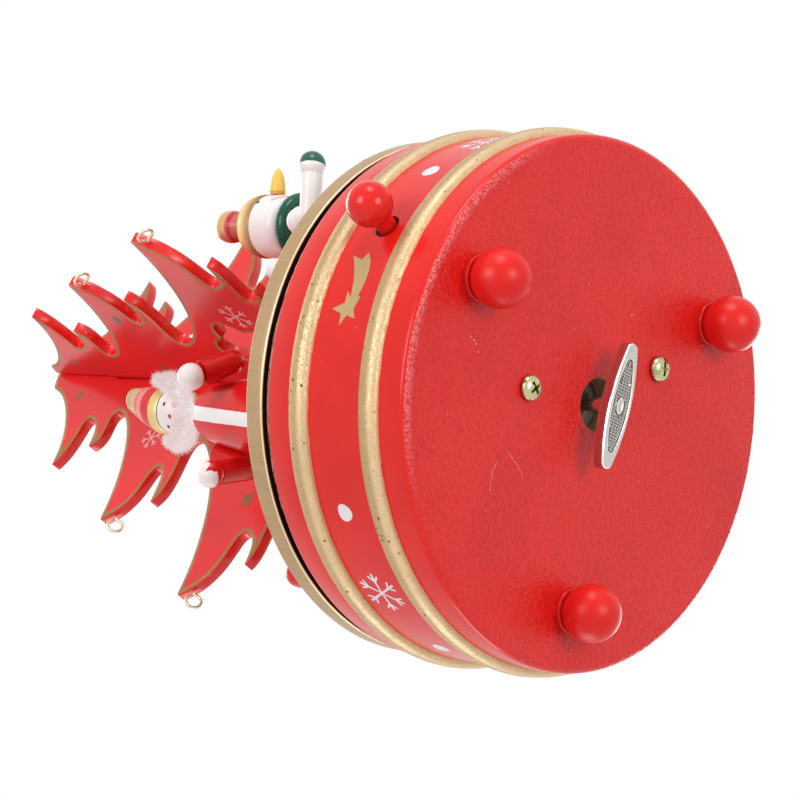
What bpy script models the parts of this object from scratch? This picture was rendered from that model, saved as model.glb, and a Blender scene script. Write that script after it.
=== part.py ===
"""Wind-up Christmas music box: a red turned drum on three ball feet, a clockwork
movement inside it, and a turntable with a crossed-panel tree and two wooden figures.

Metres, +Z up.  The drum's axis is the Z axis and z = 0 is the plane the feet rest on.
"""
import math

import bmesh
import bpy
from mathutils import Matrix, Vector

MM = 0.001
GAP = 0.3 * MM                      # clearance left between pieces that touch

FOOT_H = 11.15 * MM                 # underside of the drum above the table
FOOT_R = FOOT_H / 2 + 0.375 * MM    # the ball is cut off flat under the drum
FOOT_ANGLES = (-55.8, 64.2, 184.2)

DRUM_R = 54.0 * MM
DRUM_H = 37.3 * MM
DRUM_FLOOR = 5.0 * MM
DRUM_BORE_R = DRUM_R - 6.5 * MM
LID_SEAT_R = DRUM_R - 5.0 * MM
FOOT_PITCH_R = DRUM_R - 12.6 * MM
LID_SEAT_Z = 33.0 * MM
LID_T = 3.5 * MM
LID_HOLE_R = 14.0 * MM              # wide enough to reach the movement's upper bearing
BEAD_Z = (9.2 * MM, 28.3 * MM)
BEAD_HALF = 2.4 * MM
BEAD_OUT = 1.7 * MM
KEY_HOLE_R = 5.4 * MM
KEY_HOLE_AT = (0.0, 1.9 * MM)

TABLE_R = 53.4 * MM
TABLE_Z = FOOT_H + 38.7 * MM
TABLE_T = 5.5 * MM
TABLE_TOP = TABLE_Z + TABLE_T

PANEL_T = 2.7 * MM
TREE_AT = (1.7 * MM, 0.0)           # the tree stands a little off the axis
TREE_ANGLE = -58.4
TREE_TOP = 165.3 * MM
TREE_LAP_Z = 144.0 * MM
TRUNK_HALF = 9.0 * MM
# Each tier, measured from the axis and from the drum's underside, in mm:
# the branch tip, the pocket beneath it, the spur and the notch above the next tier.
TIERS = (
    ((26.3, 150.5), (12.7, 146.3), (20.7, 141.3), (10.4, 136.8)),
    ((39.2, 124.6), (24.0, 114.4), (33.8, 111.2), (16.1, 107.0)),
    ((55.5, 88.1), (38.3, 77.0), (46.8, 72.5), (33.3, 70.0)),
)
TREE_SHOULDER = (5.2, 164.4)
LOWEST_SPUR = (37.7, 66.0)
EYE_TIERS = (2, 3)
EYE_BELOW_TIP = 3.3
EYE_RING_R = 1.65
EYE_WIRE_R = 0.38
EYE_TWISTS = (145.0, 70.0, 95.0, 42.0)      # how far each wing's eyes are screwed round

KEY_FACE_Z = FOOT_H - 7.5 * MM
KEY_T = 2.6 * MM
KEY_HALF_L = 13.0 * MM
KEY_HALF_W = 3.3 * MM
KEY_ANGLE = 18.9

SCREWS_AT = ((2.7 * MM, -19.1 * MM), (7.9 * MM, 20.1 * MM))
SCREW_HEAD_R = 2.65 * MM

STOP_ANGLE = -52.7
STOP_Z = FOOT_H + 17.4 * MM
STOP_BALL_R = 4.6 * MM
STOP_BALL_AT = DRUM_R + 6.4 * MM
STOP_ROD_R = 2.0 * MM

MOVEMENT_ANGLE = -41.8
PLATE_Z = FOOT_H + DRUM_FLOOR + GAP
PLATE_T = 2.2 * MM
PLATE_BACK = -16.0 * MM
PLATE_SIDES = (-17.0 * MM, 23.0 * MM)
PLATE_WINDOW = 4.0 * MM              # half the square opening round the winding arbor
SCREW_HOLE_R = 1.6 * MM
WHEEL_Z = 20.9 * MM
WHEEL_R = 15.0 * MM
WHEEL_TOP = 23.9 * MM
WHEEL_TEETH = 36
PINION_TEETH = 9
WORM_TEETH = 16
BARREL_R = 11.0 * MM
BARREL_TOP = 31.0 * MM
SHAFT_R = 2.5 * MM
CYL_Z = 26.8 * MM
CYL_R = 6.2 * MM
CYL_START = 17.0 * MM
MOVEMENT_REACH = DRUM_BORE_R - 9.5 * MM     # from the winding arbor out to the governor
FLY_AT = (MOVEMENT_REACH, -7.0 * MM)
COMB_TEETH = 17

DOLL_AT = (-5.6 * MM, -30.0 * MM)
DOLL_ANGLE = -104.0
SNOWMAN_AT = (35.5 * MM, -8.0 * MM)
SNOWMAN_ANGLE = 0.0


for old in list(bpy.data.objects):
    bpy.data.objects.remove(old, do_unlink=True)


def material(name, colour, roughness=0.4, metallic=0.0):
    mat = bpy.data.materials.new(name)
    mat.use_nodes = True
    shader = mat.node_tree.nodes["Principled BSDF"]
    shader.inputs["Base Color"].default_value = (*colour, 1.0)
    shader.inputs["Roughness"].default_value = roughness
    shader.inputs["Metallic"].default_value = metallic
    mat.diffuse_color = (*colour, 1.0)
    return mat


RED = (0.70, 0.010, 0.012)
GOLD = (0.55, 0.36, 0.13)
WHITE = (0.85, 0.80, 0.78)
STEEL = (0.62, 0.61, 0.58)
BRASS = (0.62, 0.44, 0.17)


def add(name, bm, mat, at=(0.0, 0.0, 0.0), turn=0.0, parent=None, smooth=True):
    """Turn a bmesh into an object standing at a point, turned about Z in degrees."""
    bmesh.ops.recalc_face_normals(bm, faces=bm.faces)
    mesh = bpy.data.meshes.new(name)
    bm.to_mesh(mesh)
    bm.free()
    for polygon in mesh.polygons:
        polygon.use_smooth = smooth
    obj = bpy.data.objects.new(name, mesh)
    bpy.context.collection.objects.link(obj)
    obj.location = at
    obj.rotation_euler[2] = math.radians(turn)
    if mat is not None:
        mesh.materials.append(mat)
    if parent is not None:
        attach(obj, parent)
    return obj


def attach(obj, parent):
    obj.parent = parent
    obj.matrix_parent_inverse = parent.matrix_world.inverted()


def pivot(name, at, turn=0.0):
    empty = bpy.data.objects.new(name, None)
    bpy.context.collection.objects.link(empty)
    empty.empty_display_size = 0.01
    empty.location = at
    empty.rotation_euler[2] = math.radians(turn)
    bpy.context.view_layer.update()
    return empty


def cut(obj, tool, operation="DIFFERENCE"):
    """Boolean with a hidden helper that follows the object it shapes."""
    tool.hide_render = True
    tool.display_type = "WIRE"
    mod = obj.modifiers.new(tool.name, "BOOLEAN")
    mod.object = tool
    mod.operation = operation
    mod.solver = "EXACT"


def lathe(profile, segments):
    """Closed solid of revolution about Z from (radius, z) points."""
    bm = bmesh.new()
    rings = []
    for r, z in profile:
        if r < 1e-9:
            rings.append([bm.verts.new((0.0, 0.0, z))])
        else:
            rings.append([bm.verts.new((r * math.cos(a), r * math.sin(a), z))
                          for a in (2 * math.pi * i / segments for i in range(segments))])
    pairs = list(zip(rings, rings[1:]))
    if len(rings[0]) > 1 and len(rings[-1]) > 1:
        pairs.append((rings[-1], rings[0]))
    for low, high in pairs:
        for i in range(segments):
            j = (i + 1) % segments
            corners = []
            for v in (low[i % len(low)], low[j % len(low)], high[j % len(high)], high[i % len(high)]):
                if v not in corners:
                    corners.append(v)
            if len(corners) > 2:
                bm.faces.new(corners)
    return bm


def prism(outline, z0, z1):
    """Upright prism over a plane outline."""
    bm = bmesh.new()
    low = [bm.verts.new((x, y, z0)) for x, y in outline]
    high = [bm.verts.new((x, y, z1)) for x, y in outline]
    count = len(outline)
    for i in range(count):
        j = (i + 1) % count
        bm.faces.new((low[i], low[j], high[j], high[i]))
    bmesh.ops.triangulate(bm, faces=[bm.faces.new(low), bm.faces.new(high)])
    return bm


def box(x0, x1, y0, y1, z0, z1):
    return prism([(x0, y0), (x1, y0), (x1, y1), (x0, y1)], z0, z1)


def tube(path, radii, sides, closed=False):
    """Round bar along a path; one radius, or one for each point."""
    path = [Vector(p) for p in path]
    count = len(path)
    if not isinstance(radii, (list, tuple)):
        radii = [radii] * count
    bm = bmesh.new()
    rings = []
    across = None
    for i, point in enumerate(path):
        before = path[i - 1] if (i or closed) else point
        after = path[(i + 1) % count] if (i < count - 1 or closed) else point
        along = (after - before).normalized()
        if across is None:
            across = along.orthogonal().normalized()
        across = (across - along * across.dot(along)).normalized()
        other = along.cross(across)
        rings.append([bm.verts.new(point + radii[i] * (math.cos(a) * across + math.sin(a) * other))
                      for a in (2 * math.pi * k / sides for k in range(sides))])
    spans = list(zip(rings, rings[1:]))
    if closed:
        spans.append((rings[-1], rings[0]))
    for low, high in spans:
        for k in range(sides):
            m = (k + 1) % sides
            bm.faces.new((low[k], low[m], high[m], high[k]))
    if not closed:
        bm.faces.new(rings[0])
        bm.faces.new(rings[-1])
    return bm


def dome(radius, z, start, stop, steps):
    """Part of a circle about (0, z), from one elevation to another in degrees."""
    points = []
    for i in range(steps + 1):
        a = math.radians(start + (stop - start) * i / steps)
        points.append((max(0.0, radius * math.cos(a)), z + radius * math.sin(a)))
    return points


def ball(radius, segments=20, rings=10):
    return lathe(dome(radius, 0.0, -90, 90, rings), segments)


def bezier(start, c1, c2, end, steps):
    """Points of a cubic curve after its start."""
    points = []
    for i in range(1, steps + 1):
        t = i / steps
        w = ((1 - t) ** 3, 3 * t * (1 - t) ** 2, 3 * t * t * (1 - t), t ** 3)
        points.append(tuple(sum(k * p[n] for k, p in zip(w, (start, c1, c2, end)))
                            for n in (0, 1)))
    return points


# Drum, lid, feet and the screws that hold the movement

lacquer = material("red_lacquer", RED, 0.25)
gold_paint = material("gold_paint", GOLD, 0.45, 0.6)


def drum_profile():
    z0 = FOOT_H
    edge = 1.4 * MM
    points = [(0.0, z0), (DRUM_R - edge, z0)]
    points += [(DRUM_R - edge + edge * math.sin(a), z0 + edge - edge * math.cos(a))
               for a in (math.radians(30 * k) for k in (1, 2, 3))]
    for bead in BEAD_Z:
        for k in range(6):
            a = math.pi * k / 5
            points.append((DRUM_R + BEAD_OUT * math.sin(a), z0 + bead - BEAD_HALF * math.cos(a)))
    top = z0 + DRUM_H
    points += [(DRUM_R, top), (LID_SEAT_R, top),
               (LID_SEAT_R, z0 + LID_SEAT_Z), (DRUM_BORE_R, z0 + LID_SEAT_Z),
               (DRUM_BORE_R, z0 + DRUM_FLOOR), (0.0, z0 + DRUM_FLOOR)]
    return points


drum = add("drum", lathe(drum_profile(), 60), lacquer)

key_hole = add("cut_key_hole", lathe([(0.0, 0.0), (KEY_HOLE_R, 0.0), (KEY_HOLE_R, 10 * MM),
                                      (0.0, 10 * MM)], 28), None,
               at=(*KEY_HOLE_AT, FOOT_H - 2 * MM))
cut(drum, key_hole)
for n, (x, y) in enumerate(SCREWS_AT, 1):
    hole = add(f"cut_screw_hole_{n}", lathe([(0.0, 0.0), (SCREW_HOLE_R, 0.0),
                                             (SCREW_HOLE_R, 12 * MM), (0.0, 12 * MM)], 12), None,
               at=(x, y, FOOT_H - 2 * MM))
    cut(drum, hole)


def radial(angle, distance, z, sideways=0.0):
    a = math.radians(angle)
    return (distance * math.cos(a) - sideways * math.sin(a),
            distance * math.sin(a) + sideways * math.cos(a), z)


stop_hole = add("cut_stop_hole", tube([radial(STOP_ANGLE, DRUM_BORE_R - 4 * MM, STOP_Z),
                                       radial(STOP_ANGLE, DRUM_R + 6 * MM, STOP_Z)],
                                      STOP_ROD_R + 0.7 * MM, 24), None)
cut(drum, stop_hole)

lid_z = FOOT_H + LID_SEAT_Z + GAP
lid = add("drum_lid", lathe([(LID_HOLE_R, lid_z), (LID_SEAT_R - GAP, lid_z),
                             (LID_SEAT_R - GAP, lid_z + LID_T), (LID_HOLE_R, lid_z + LID_T)], 36),
          material("lid_board", (0.55, 0.36, 0.20), 0.6))

for n, angle in enumerate(FOOT_ANGLES, 1):
    x, y, _ = radial(angle, FOOT_PITCH_R, 0)
    seat = FOOT_H - GAP - FOOT_R
    top = math.degrees(math.asin(seat / FOOT_R))
    profile = dome(FOOT_R, FOOT_R, -90, top, 10)
    profile += [(3.9 * MM, FOOT_H - 1.1 * MM), (3.9 * MM, FOOT_H - GAP), (0.0, FOOT_H - GAP)]
    profile = [p for p in profile[:-3] if p[1] < FOOT_H - 1.4 * MM] + profile[-3:]
    add(f"foot_{n}", lathe(profile, 20), lacquer, at=(x, y, 0.0))

zinc = material("yellow_zinc", (0.62, 0.55, 0.28), 0.25, 1.0)
for n, (x, y) in enumerate(SCREWS_AT, 1):
    head = FOOT_H - GAP
    profile = [(0.0, head - 1.7 * MM), (1.3 * MM, head - 1.6 * MM), (2.2 * MM, head - 1.15 * MM),
               (SCREW_HEAD_R, head - 0.45 * MM), (SCREW_HEAD_R, head), (1.3 * MM, head),
               (1.3 * MM, PLATE_Z + PLATE_T - 0.2 * MM), (0.0, PLATE_Z + PLATE_T - 0.2 * MM)]
    screw = add(f"movement_screw_{n}", lathe(profile, 14), zinc, at=(x, y, 0.0))
    reach, half = 1.5 * MM, 0.3 * MM
    cross = [(-half, -reach), (half, -reach), (half, -half), (reach, -half), (reach, half),
             (half, half), (half, reach), (-half, reach), (-half, half), (-reach, half),
             (-reach, -half), (-half, -half)]
    recess = add(f"cut_recess_{n}", prism(cross, head - 3 * MM, head - 0.75 * MM), None,
                 at=(x, y, 0.0), turn=20 + 35 * n)
    cut(screw, recess)

# Winding key: a pointed bar across the end of the winding arbor

key_pivot = pivot("key_axis", (0.0, 0.0, KEY_FACE_Z))
chrome = material("key_chrome", (0.78, 0.77, 0.76), 0.12, 1.0)


def lens(half_l, half_w, blunt, steps=9):
    """Pointed oval with blunt ends, long in X."""
    right = []
    for i in range(steps + 1):
        u = -1 + 2 * i / steps
        right.append((u * (half_l - blunt * 0.4), -(blunt + (half_w - blunt) * (1 - u * u))))
    tip = [(half_l, -blunt * 0.45), (half_l, blunt * 0.45)]
    left = [(x, -y) for x, y in reversed(right)]
    return right + tip + left + [(-x, -y) for x, y in tip]


key = add("winding_key", prism(lens(KEY_HALF_L, KEY_HALF_W, 1.1 * MM), KEY_FACE_Z,
                               KEY_FACE_Z + KEY_T), chrome, turn=KEY_ANGLE, smooth=False)
panel = add("cut_key_panel", prism(lens(9.4 * MM, 2.25 * MM, 0.8 * MM), KEY_FACE_Z - 1 * MM,
                                   KEY_FACE_Z + 0.35 * MM), None, turn=KEY_ANGLE)
cut(key, panel)
arbor = add("join_arbor", lathe([(0.0, KEY_FACE_Z + 1.3 * MM), (1.75 * MM, KEY_FACE_Z + 1.3 * MM),
                                 (1.75 * MM, FOOT_H - 0.4 * MM), (1.3 * MM, FOOT_H - 0.1 * MM),
                                 (1.3 * MM, BARREL_TOP - 1.5 * MM),
                                 (0.0, BARREL_TOP - 1.5 * MM)], 16), None)
cut(key, arbor, "UNION")
bevel = key.modifiers.new("soft_edges", "BEVEL")
bevel.width = 0.25 * MM
bevel.segments = 1
bevel.limit_method = "ANGLE"
bevel.angle_limit = math.radians(50)
key.modifiers.move(len(key.modifiers) - 1, 0)
attach(key, key_pivot)


def gear(count, root, tip, bore, z0, z1, tooth=0.30, lean=0.0):
    """Flat toothed ring with one tooth on +X; the bore's edge is bridged to the teeth."""
    step = 2 * math.pi / count
    ring = []
    for i in range(count):
        for angle, r in ((-tooth, root), (lean - tooth * 0.5, tip), (lean + tooth * 0.5, tip),
                         (tooth, root)):
            ring.append(((i + angle) * step, r))
    bm = bmesh.new()
    loops = []
    for z in (z0, z1):
        outer = [bm.verts.new((r * math.cos(a), r * math.sin(a), z)) for a, r in ring]
        inner = [bm.verts.new((bore * math.cos(a), bore * math.sin(a), z)) for a, r in ring]
        loops.append((outer, inner))
    (low_out, low_in), (high_out, high_in) = loops
    for k in range(len(ring)):
        m = (k + 1) % len(ring)
        bm.faces.new((low_out[k], low_out[m], high_out[m], high_out[k]))
        bm.faces.new((low_in[m], low_in[k], high_in[k], high_in[m]))
        bm.faces.new((low_in[k], low_in[m], low_out[m], low_out[k]))
        bm.faces.new((high_out[k], high_out[m], high_in[m], high_in[k]))
    return bm


steel = material("steel", STEEL, 0.3, 1.0)
add("ratchet_wheel", gear(14, 5.3 * MM, 6.4 * MM, 1.7 * MM, WHEEL_Z - 1.9 * MM,
                          WHEEL_Z - 0.5 * MM, 0.42, 0.16), steel, parent=key_pivot, smooth=False)

# Movement: bedplate, spring barrel, pinned cylinder, comb and governor

nickel = material("bedplate_nickel", (0.50, 0.48, 0.44), 0.35, 1.0)
plate = add("bedplate", box(PLATE_BACK, MOVEMENT_REACH + 2 * MM, *PLATE_SIDES, PLATE_Z,
                            PLATE_Z + PLATE_T), nickel, turn=MOVEMENT_ANGLE, smooth=False)
window = add("cut_plate_window", box(-PLATE_WINDOW, PLATE_WINDOW, -PLATE_WINDOW, PLATE_WINDOW,
                                     PLATE_Z - 3 * MM, PLATE_Z + PLATE_T + 3 * MM), None, turn=24)
cut(plate, window)
for n, (x, y) in enumerate(SCREWS_AT, 1):
    hole = add(f"cut_plate_hole_{n}", lathe([(0.0, 0.0), (SCREW_HOLE_R, 0.0),
                                             (SCREW_HOLE_R, 9 * MM), (0.0, 9 * MM)], 12), None,
               at=(x, y, PLATE_Z - 2.5 * MM))
    cut(plate, hole)

table_pivot = pivot("turntable_axis", (0.0, 0.0, TABLE_Z))
brass = material("brass", BRASS, 0.3, 1.0)
lip = BARREL_R + 2.0 * MM
add("spring_barrel", lathe([(BARREL_R - 1.0 * MM, WHEEL_Z), (lip, WHEEL_Z), (lip, WHEEL_Z + 0.7 * MM),
                            (BARREL_R, WHEEL_Z + 0.7 * MM), (BARREL_R, BARREL_TOP),
                            (0.0, BARREL_TOP), (0.0, BARREL_TOP - 1.2 * MM),
                            (BARREL_R - 1.0 * MM, BARREL_TOP - 1.2 * MM)], 28), brass,
    parent=table_pivot, smooth=False)


def contrate_wheel():
    """Ring whose teeth stand up from its face; a gap between teeth lies on the +X axis."""
    low, high = WHEEL_Z + 0.7 * MM + GAP, WHEEL_Z + 1.9 * MM
    bm = lathe([(BARREL_R + GAP, low), (WHEEL_R, low), (WHEEL_R, high), (BARREL_R + GAP, high)],
               2 * WHEEL_TEETH)
    half = math.pi / WHEEL_TEETH / 2
    for face in [f for f in bm.faces if f.calc_center_median().z > high - 1e-6]:
        middle = face.calc_center_median()
        step = round((math.atan2(middle.y, middle.x) - half) / (2 * half))
        if step % 2 == 0:
            raised = bmesh.ops.extrude_discrete_faces(bm, faces=[face])["faces"]
            for vert in raised[0].verts:
                vert.co.z = WHEEL_TOP
    bmesh.ops.rotate(bm, verts=bm.verts, matrix=Matrix.Rotation(half, 3, "Z"))
    return bm


add("contrate_wheel", contrate_wheel(), brass, turn=MOVEMENT_ANGLE, parent=table_pivot,
    smooth=False)


def spiral_strip(r0, r1, turns, thick, z0, z1, steps_per_turn=14):
    outline, inner = [], []
    steps = int(turns * steps_per_turn)
    for i in range(steps + 1):
        a = 2 * math.pi * i / steps_per_turn
        r = r0 + (r1 - r0) * i / steps
        outline.append((r * math.cos(a), r * math.sin(a)))
        inner.append(((r + thick) * math.cos(a), (r + thick) * math.sin(a)))
    bm = bmesh.new()
    rows = [[bm.verts.new((x, y, z)) for x, y in line]
            for line, z in ((outline, z0), (inner, z0), (inner, z1), (outline, z1))]
    for k in range(4):
        low, high = rows[k], rows[(k + 1) % 4]
        for i in range(steps):
            bm.faces.new((low[i], low[i + 1], high[i + 1], high[i]))
    bm.faces.new([row[0] for row in rows])
    bm.faces.new([row[-1] for row in rows])
    return bm


add("mainspring", spiral_strip(2.2 * MM, BARREL_R - 1.8 * MM, 4, 0.4 * MM, WHEEL_Z + 1.5 * MM,
                               BARREL_TOP - 1.7 * MM),
    material("spring_steel", (0.25, 0.27, 0.32), 0.35, 1.0), parent=table_pivot, smooth=False)
add("table_shaft", lathe([(0.0, BARREL_TOP + GAP), (5.0 * MM, BARREL_TOP + GAP),
                          (5.0 * MM, BARREL_TOP + 2.3 * MM), (SHAFT_R, BARREL_TOP + 2.3 * MM),
                          (SHAFT_R, TABLE_Z - 1.5 * MM), (7.0 * MM, TABLE_Z - 1.5 * MM),
                          (7.0 * MM, TABLE_Z - GAP), (0.0, TABLE_Z - GAP)], 20), steel,
    parent=table_pivot, smooth=False)


def movement_point(x, y, z):
    a = math.radians(MOVEMENT_ANGLE)
    return (x * math.cos(a) - y * math.sin(a), x * math.sin(a) + y * math.cos(a), z)


def pinned_cylinder():
    """Arbor and drum along Z; some faces of the drum are raised as the tune's pins."""
    rows, columns = 10, 18
    length = MOVEMENT_REACH - 3 * MM - CYL_START
    arbor_r, inner_end = 1.2 * MM, 12.2 * MM
    outer_end = MOVEMENT_REACH + 1.4 * MM
    profile = [(0.0, inner_end), (arbor_r, inner_end), (arbor_r, CYL_START)]
    profile += [(CYL_R, CYL_START + length * k / rows) for k in range(rows + 1)]
    profile += [(arbor_r, CYL_START + length), (arbor_r, outer_end), (0.0, outer_end)]
    bm = lathe(profile, columns)
    pins = []
    for face in bm.faces:
        middle = face.calc_center_median()
        if abs(math.hypot(middle.x, middle.y) - CYL_R) > 0.2 * MM:
            continue
        row = int((middle.z - CYL_START) / (length / rows))
        column = int((math.atan2(middle.y, middle.x) % math.tau) / math.tau * columns)
        if (column * 5 + row * 3) % 11 == 0:
            pins.append(face)
    bmesh.ops.inset_individual(bm, faces=pins, thickness=0.6 * MM)
    for face in pins:
        middle = face.calc_center_median()
        out = Vector((middle.x, middle.y, 0)).normalized() * 0.5 * MM
        for vert in face.verts:
            vert.co += out
    return bm


cylinder_pivot = bpy.data.objects.new("cylinder_axis", None)
bpy.context.collection.objects.link(cylinder_pivot)
cylinder_pivot.empty_display_size = 0.01
cylinder_pivot.location = (0.0, 0.0, CYL_Z)
cylinder_pivot.rotation_euler = (0.0, math.radians(90), math.radians(MOVEMENT_ANGLE))
cylinder = add("pinned_cylinder", pinned_cylinder(), brass, smooth=False)
pinion = add("cylinder_pinion", gear(PINION_TEETH, 2.5 * MM, CYL_Z - WHEEL_TOP + 1.0 * MM, 1.5 * MM,
                                     12.6 * MM, 14.6 * MM, 0.17), steel, smooth=False)
worm_wheel = add("worm_wheel", gear(WORM_TEETH, 4.4 * MM, 5.2 * MM, 1.5 * MM,
                                    MOVEMENT_REACH - 0.6 * MM, MOVEMENT_REACH + 0.6 * MM), brass,
                 smooth=False)
for piece in (cylinder, pinion, worm_wheel):
    piece.parent = cylinder_pivot

for name, x in (("bracket_inner", 15.4 * MM), ("bracket_outer", MOVEMENT_REACH - 2.4 * MM)):
    bracket = add(name, box(x, x + 1.0 * MM, -4 * MM, 4 * MM, PLATE_Z + PLATE_T + GAP,
                            CYL_Z + 4 * MM), nickel, turn=MOVEMENT_ANGLE, smooth=False)
    hole = add(f"cut_{name}", tube([movement_point(x - 2 * MM, 0, CYL_Z),
                                    movement_point(x + 3 * MM, 0, CYL_Z)], 1.5 * MM, 20), None)
    cut(bracket, hole)

COMB_X = CYL_START + 0.5 * MM
COMB_PITCH = (MOVEMENT_REACH - 3.5 * MM - COMB_X) / COMB_TEETH
COMB_BACK = 22 * MM
add("comb_block", box(COMB_X, MOVEMENT_REACH - 3.5 * MM, 14.5 * MM, COMB_BACK,
                      PLATE_Z + PLATE_T + GAP, 26.0 * MM), nickel, turn=MOVEMENT_ANGLE,
    smooth=False)


def comb():
    """Bar along the back with a row of teeth that shorten from the bass end to the treble."""
    edges = []
    for i in range(COMB_TEETH):
        edges += [COMB_X + COMB_PITCH * i, COMB_X + COMB_PITCH * (i + 0.7)]
    bm = bmesh.new()
    low, high = ([bm.verts.new((x, y, z)) for x in edges for y in
                  (CYL_R + 1.0 * MM, 15.5 * MM - 0.2 * (x - COMB_X), COMB_BACK)]
                 for z in (26.3 * MM, 27.2 * MM))
    last = len(edges) - 1
    for k in range(len(edges)):
        tip, root, back = 3 * k, 3 * k + 1, 3 * k + 2
        bm.faces.new((low[tip], low[root], high[root], high[tip]))
        if k in (0, last):
            bm.faces.new((low[root], low[back], high[back], high[root]))
        if k == last:
            break
        spans = [(root, back)] + ([(tip, root)] if k % 2 == 0 else [])
        for layer in (low, high):
            for near, far in spans:
                bm.faces.new((layer[near], layer[near + 3], layer[far + 3], layer[far]))
        for line in (back, tip if k % 2 == 0 else root):
            bm.faces.new((low[line], low[line + 3], high[line + 3], high[line]))
    return bm


add("comb", comb(), steel, turn=MOVEMENT_ANGLE, smooth=False)

fly_pivot = pivot("governor_axis", movement_point(*FLY_AT, 20 * MM))
fly = add("governor_fly", lathe([(r * MM, z * MM) for r, z in (
    (0.0, 19.3), (0.5, 19.3), (0.5, 21.6), (1.4, 21.6), (1.4, 31.4), (0.5, 31.4), (0.5, 32.2),
    (4.0, 32.2), (4.0, 33.0), (0.5, 33.0), (0.5, 38.4), (0.0, 38.4))], 14), brass,
    at=movement_point(*FLY_AT, 0.0), smooth=False)
vanes = add("join_vanes", box(-4.6 * MM, 4.6 * MM, -0.35 * MM, 0.35 * MM, 33.7 * MM, 36.6 * MM),
            None, at=movement_point(*FLY_AT, 0.0), turn=MOVEMENT_ANGLE + 40)
cut(fly, vanes, "UNION")
bpy.context.view_layer.update()
attach(fly, fly_pivot)

clip = [(-4.8, 19.0), (-4.8, 20.6), (-13.0, 20.6), (-13.0, 37.2), (-4.8, 37.2), (-4.8, 38.7),
        (-14.4, 38.7), (-14.4, 19.0)]
frame = prism([(y * MM, z * MM) for y, z in clip], MOVEMENT_REACH - 2.5 * MM,
              MOVEMENT_REACH + 2.5 * MM)
bmesh.ops.transform(frame, matrix=Matrix(((0, 0, 1, 0), (1, 0, 0, 0), (0, 1, 0, 0), (0, 0, 0, 1))),
                    verts=frame.verts)
bracket = add("governor_bracket", frame, nickel, turn=MOVEMENT_ANGLE, smooth=False)
hole = add("cut_fly_bearings", lathe([(0.0, 10 * MM), (0.8 * MM, 10 * MM), (0.8 * MM, 45 * MM),
                                      (0.0, 45 * MM)], 12), None,
           at=movement_point(*FLY_AT, 0.0))
cut(bracket, hole)

# Stop rod: ball knob, dowel and a bent wire that bears on the governor's disc

stop_pivot = pivot("stop_axis", radial(STOP_ANGLE, STOP_BALL_AT, STOP_Z), STOP_ANGLE)
along = math.radians(STOP_ANGLE)
knob = add("stop_knob", ball(STOP_BALL_R, 20, 10), lacquer,
           at=radial(STOP_ANGLE, STOP_BALL_AT, STOP_Z), parent=stop_pivot)
rod = tube([radial(STOP_ANGLE, DRUM_BORE_R - 1.1 * MM, STOP_Z),
            radial(STOP_ANGLE, DRUM_R + 2.6 * MM, STOP_Z)], STOP_ROD_R, 16)
rod_obj = add("stop_dowel", rod, lacquer, parent=stop_pivot)
socket = add("cut_dowel_end", ball(STOP_BALL_R + GAP, 20, 10), None,
             at=radial(STOP_ANGLE, STOP_BALL_AT, STOP_Z))
cut(rod_obj, socket)
wire = [(1.4, 0.0), (2.6, 0.0), (3.15, 0.3), (3.3, 0.9), (3.3, 3.2), (3.45, 3.8), (3.9, 4.05),
        (4.55, 4.05)]
add("stop_wire", tube([radial(STOP_ANGLE, DRUM_BORE_R - r * MM, STOP_Z + z * MM) for r, z in wire],
                      0.4 * MM, 8), steel, parent=stop_pivot)

# Turntable and the crossed tree panels

edge = 1.1 * MM
table = [(0.0, TABLE_Z), (TABLE_R - edge, TABLE_Z)]
table += [(TABLE_R - edge + edge * math.sin(a), TABLE_Z + edge - edge * math.cos(a))
          for a in (math.radians(30 * k) for k in (1, 2, 3))]
table += [(TABLE_R, TABLE_TOP - 0.4 * MM), (TABLE_R - 0.4 * MM, TABLE_TOP), (0.0, TABLE_TOP)]
add("turntable", lathe(table, 60), gold_paint, parent=table_pivot)


def branch_underside(tip, pocket):
    """Edge of a branch from its tip down into the pocket beneath it."""
    dx, dz = tip[0] - pocket[0], tip[1] - pocket[1]
    return bezier(tip, (tip[0] - 0.36 * dx, tip[1] - 1.05 * dz), (pocket[0], pocket[1] + 0.28 * dz),
                  pocket, 6)


def half_outline():
    """Right-hand half of a tree panel from its top to the foot of the trunk, in mm."""
    line = [TREE_SHOULDER]
    for tip, pocket, spur, notch in TIERS:
        start = line[-1]
        dx, dz = tip[0] - start[0], tip[1] - start[1]
        line += bezier(start, (start[0] + 0.02 * dx, start[1] + 0.40 * dz),
                       (tip[0] - 0.52 * dx, tip[1]), tip, 8)
        line += branch_underside(tip, pocket)
        dx, dz = spur[0] - pocket[0], spur[1] - pocket[1]
        line += bezier(pocket, (pocket[0], pocket[1] + 0.85 * dz), (spur[0] - 0.5 * dx, spur[1]),
                       spur, 4)
        dx, dz = spur[0] - notch[0], spur[1] - notch[1]
        line += bezier(spur, (spur[0] - 0.25 * dx, spur[1] - 1.35 * dz),
                       (notch[0], notch[1] + 0.95 * dz), notch, 6)
    notch = line[-1]
    line += bezier(notch, (notch[0], notch[1] - 3.0), (LOWEST_SPUR[0] - 2.2, LOWEST_SPUR[1]),
                   LOWEST_SPUR, 4)
    line += bezier(LOWEST_SPUR, (32.0, 62.0), (21.5, 72.0), (21.2, 83.0), 6)
    line += bezier((21.2, 83.0), (27.0, 86.6), (25.0, 93.0), (18.6, 91.8), 5)
    line += bezier((18.6, 91.8), (18.0, 97.0), (12.2, 98.0), (11.2, 91.5), 5)
    foot = (TABLE_TOP + GAP - FOOT_H) / MM
    line += bezier((11.2, 91.5), (9.8, 84.0), (9.0, 76.0), (TRUNK_HALF / MM, foot), 3)
    return line


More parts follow.
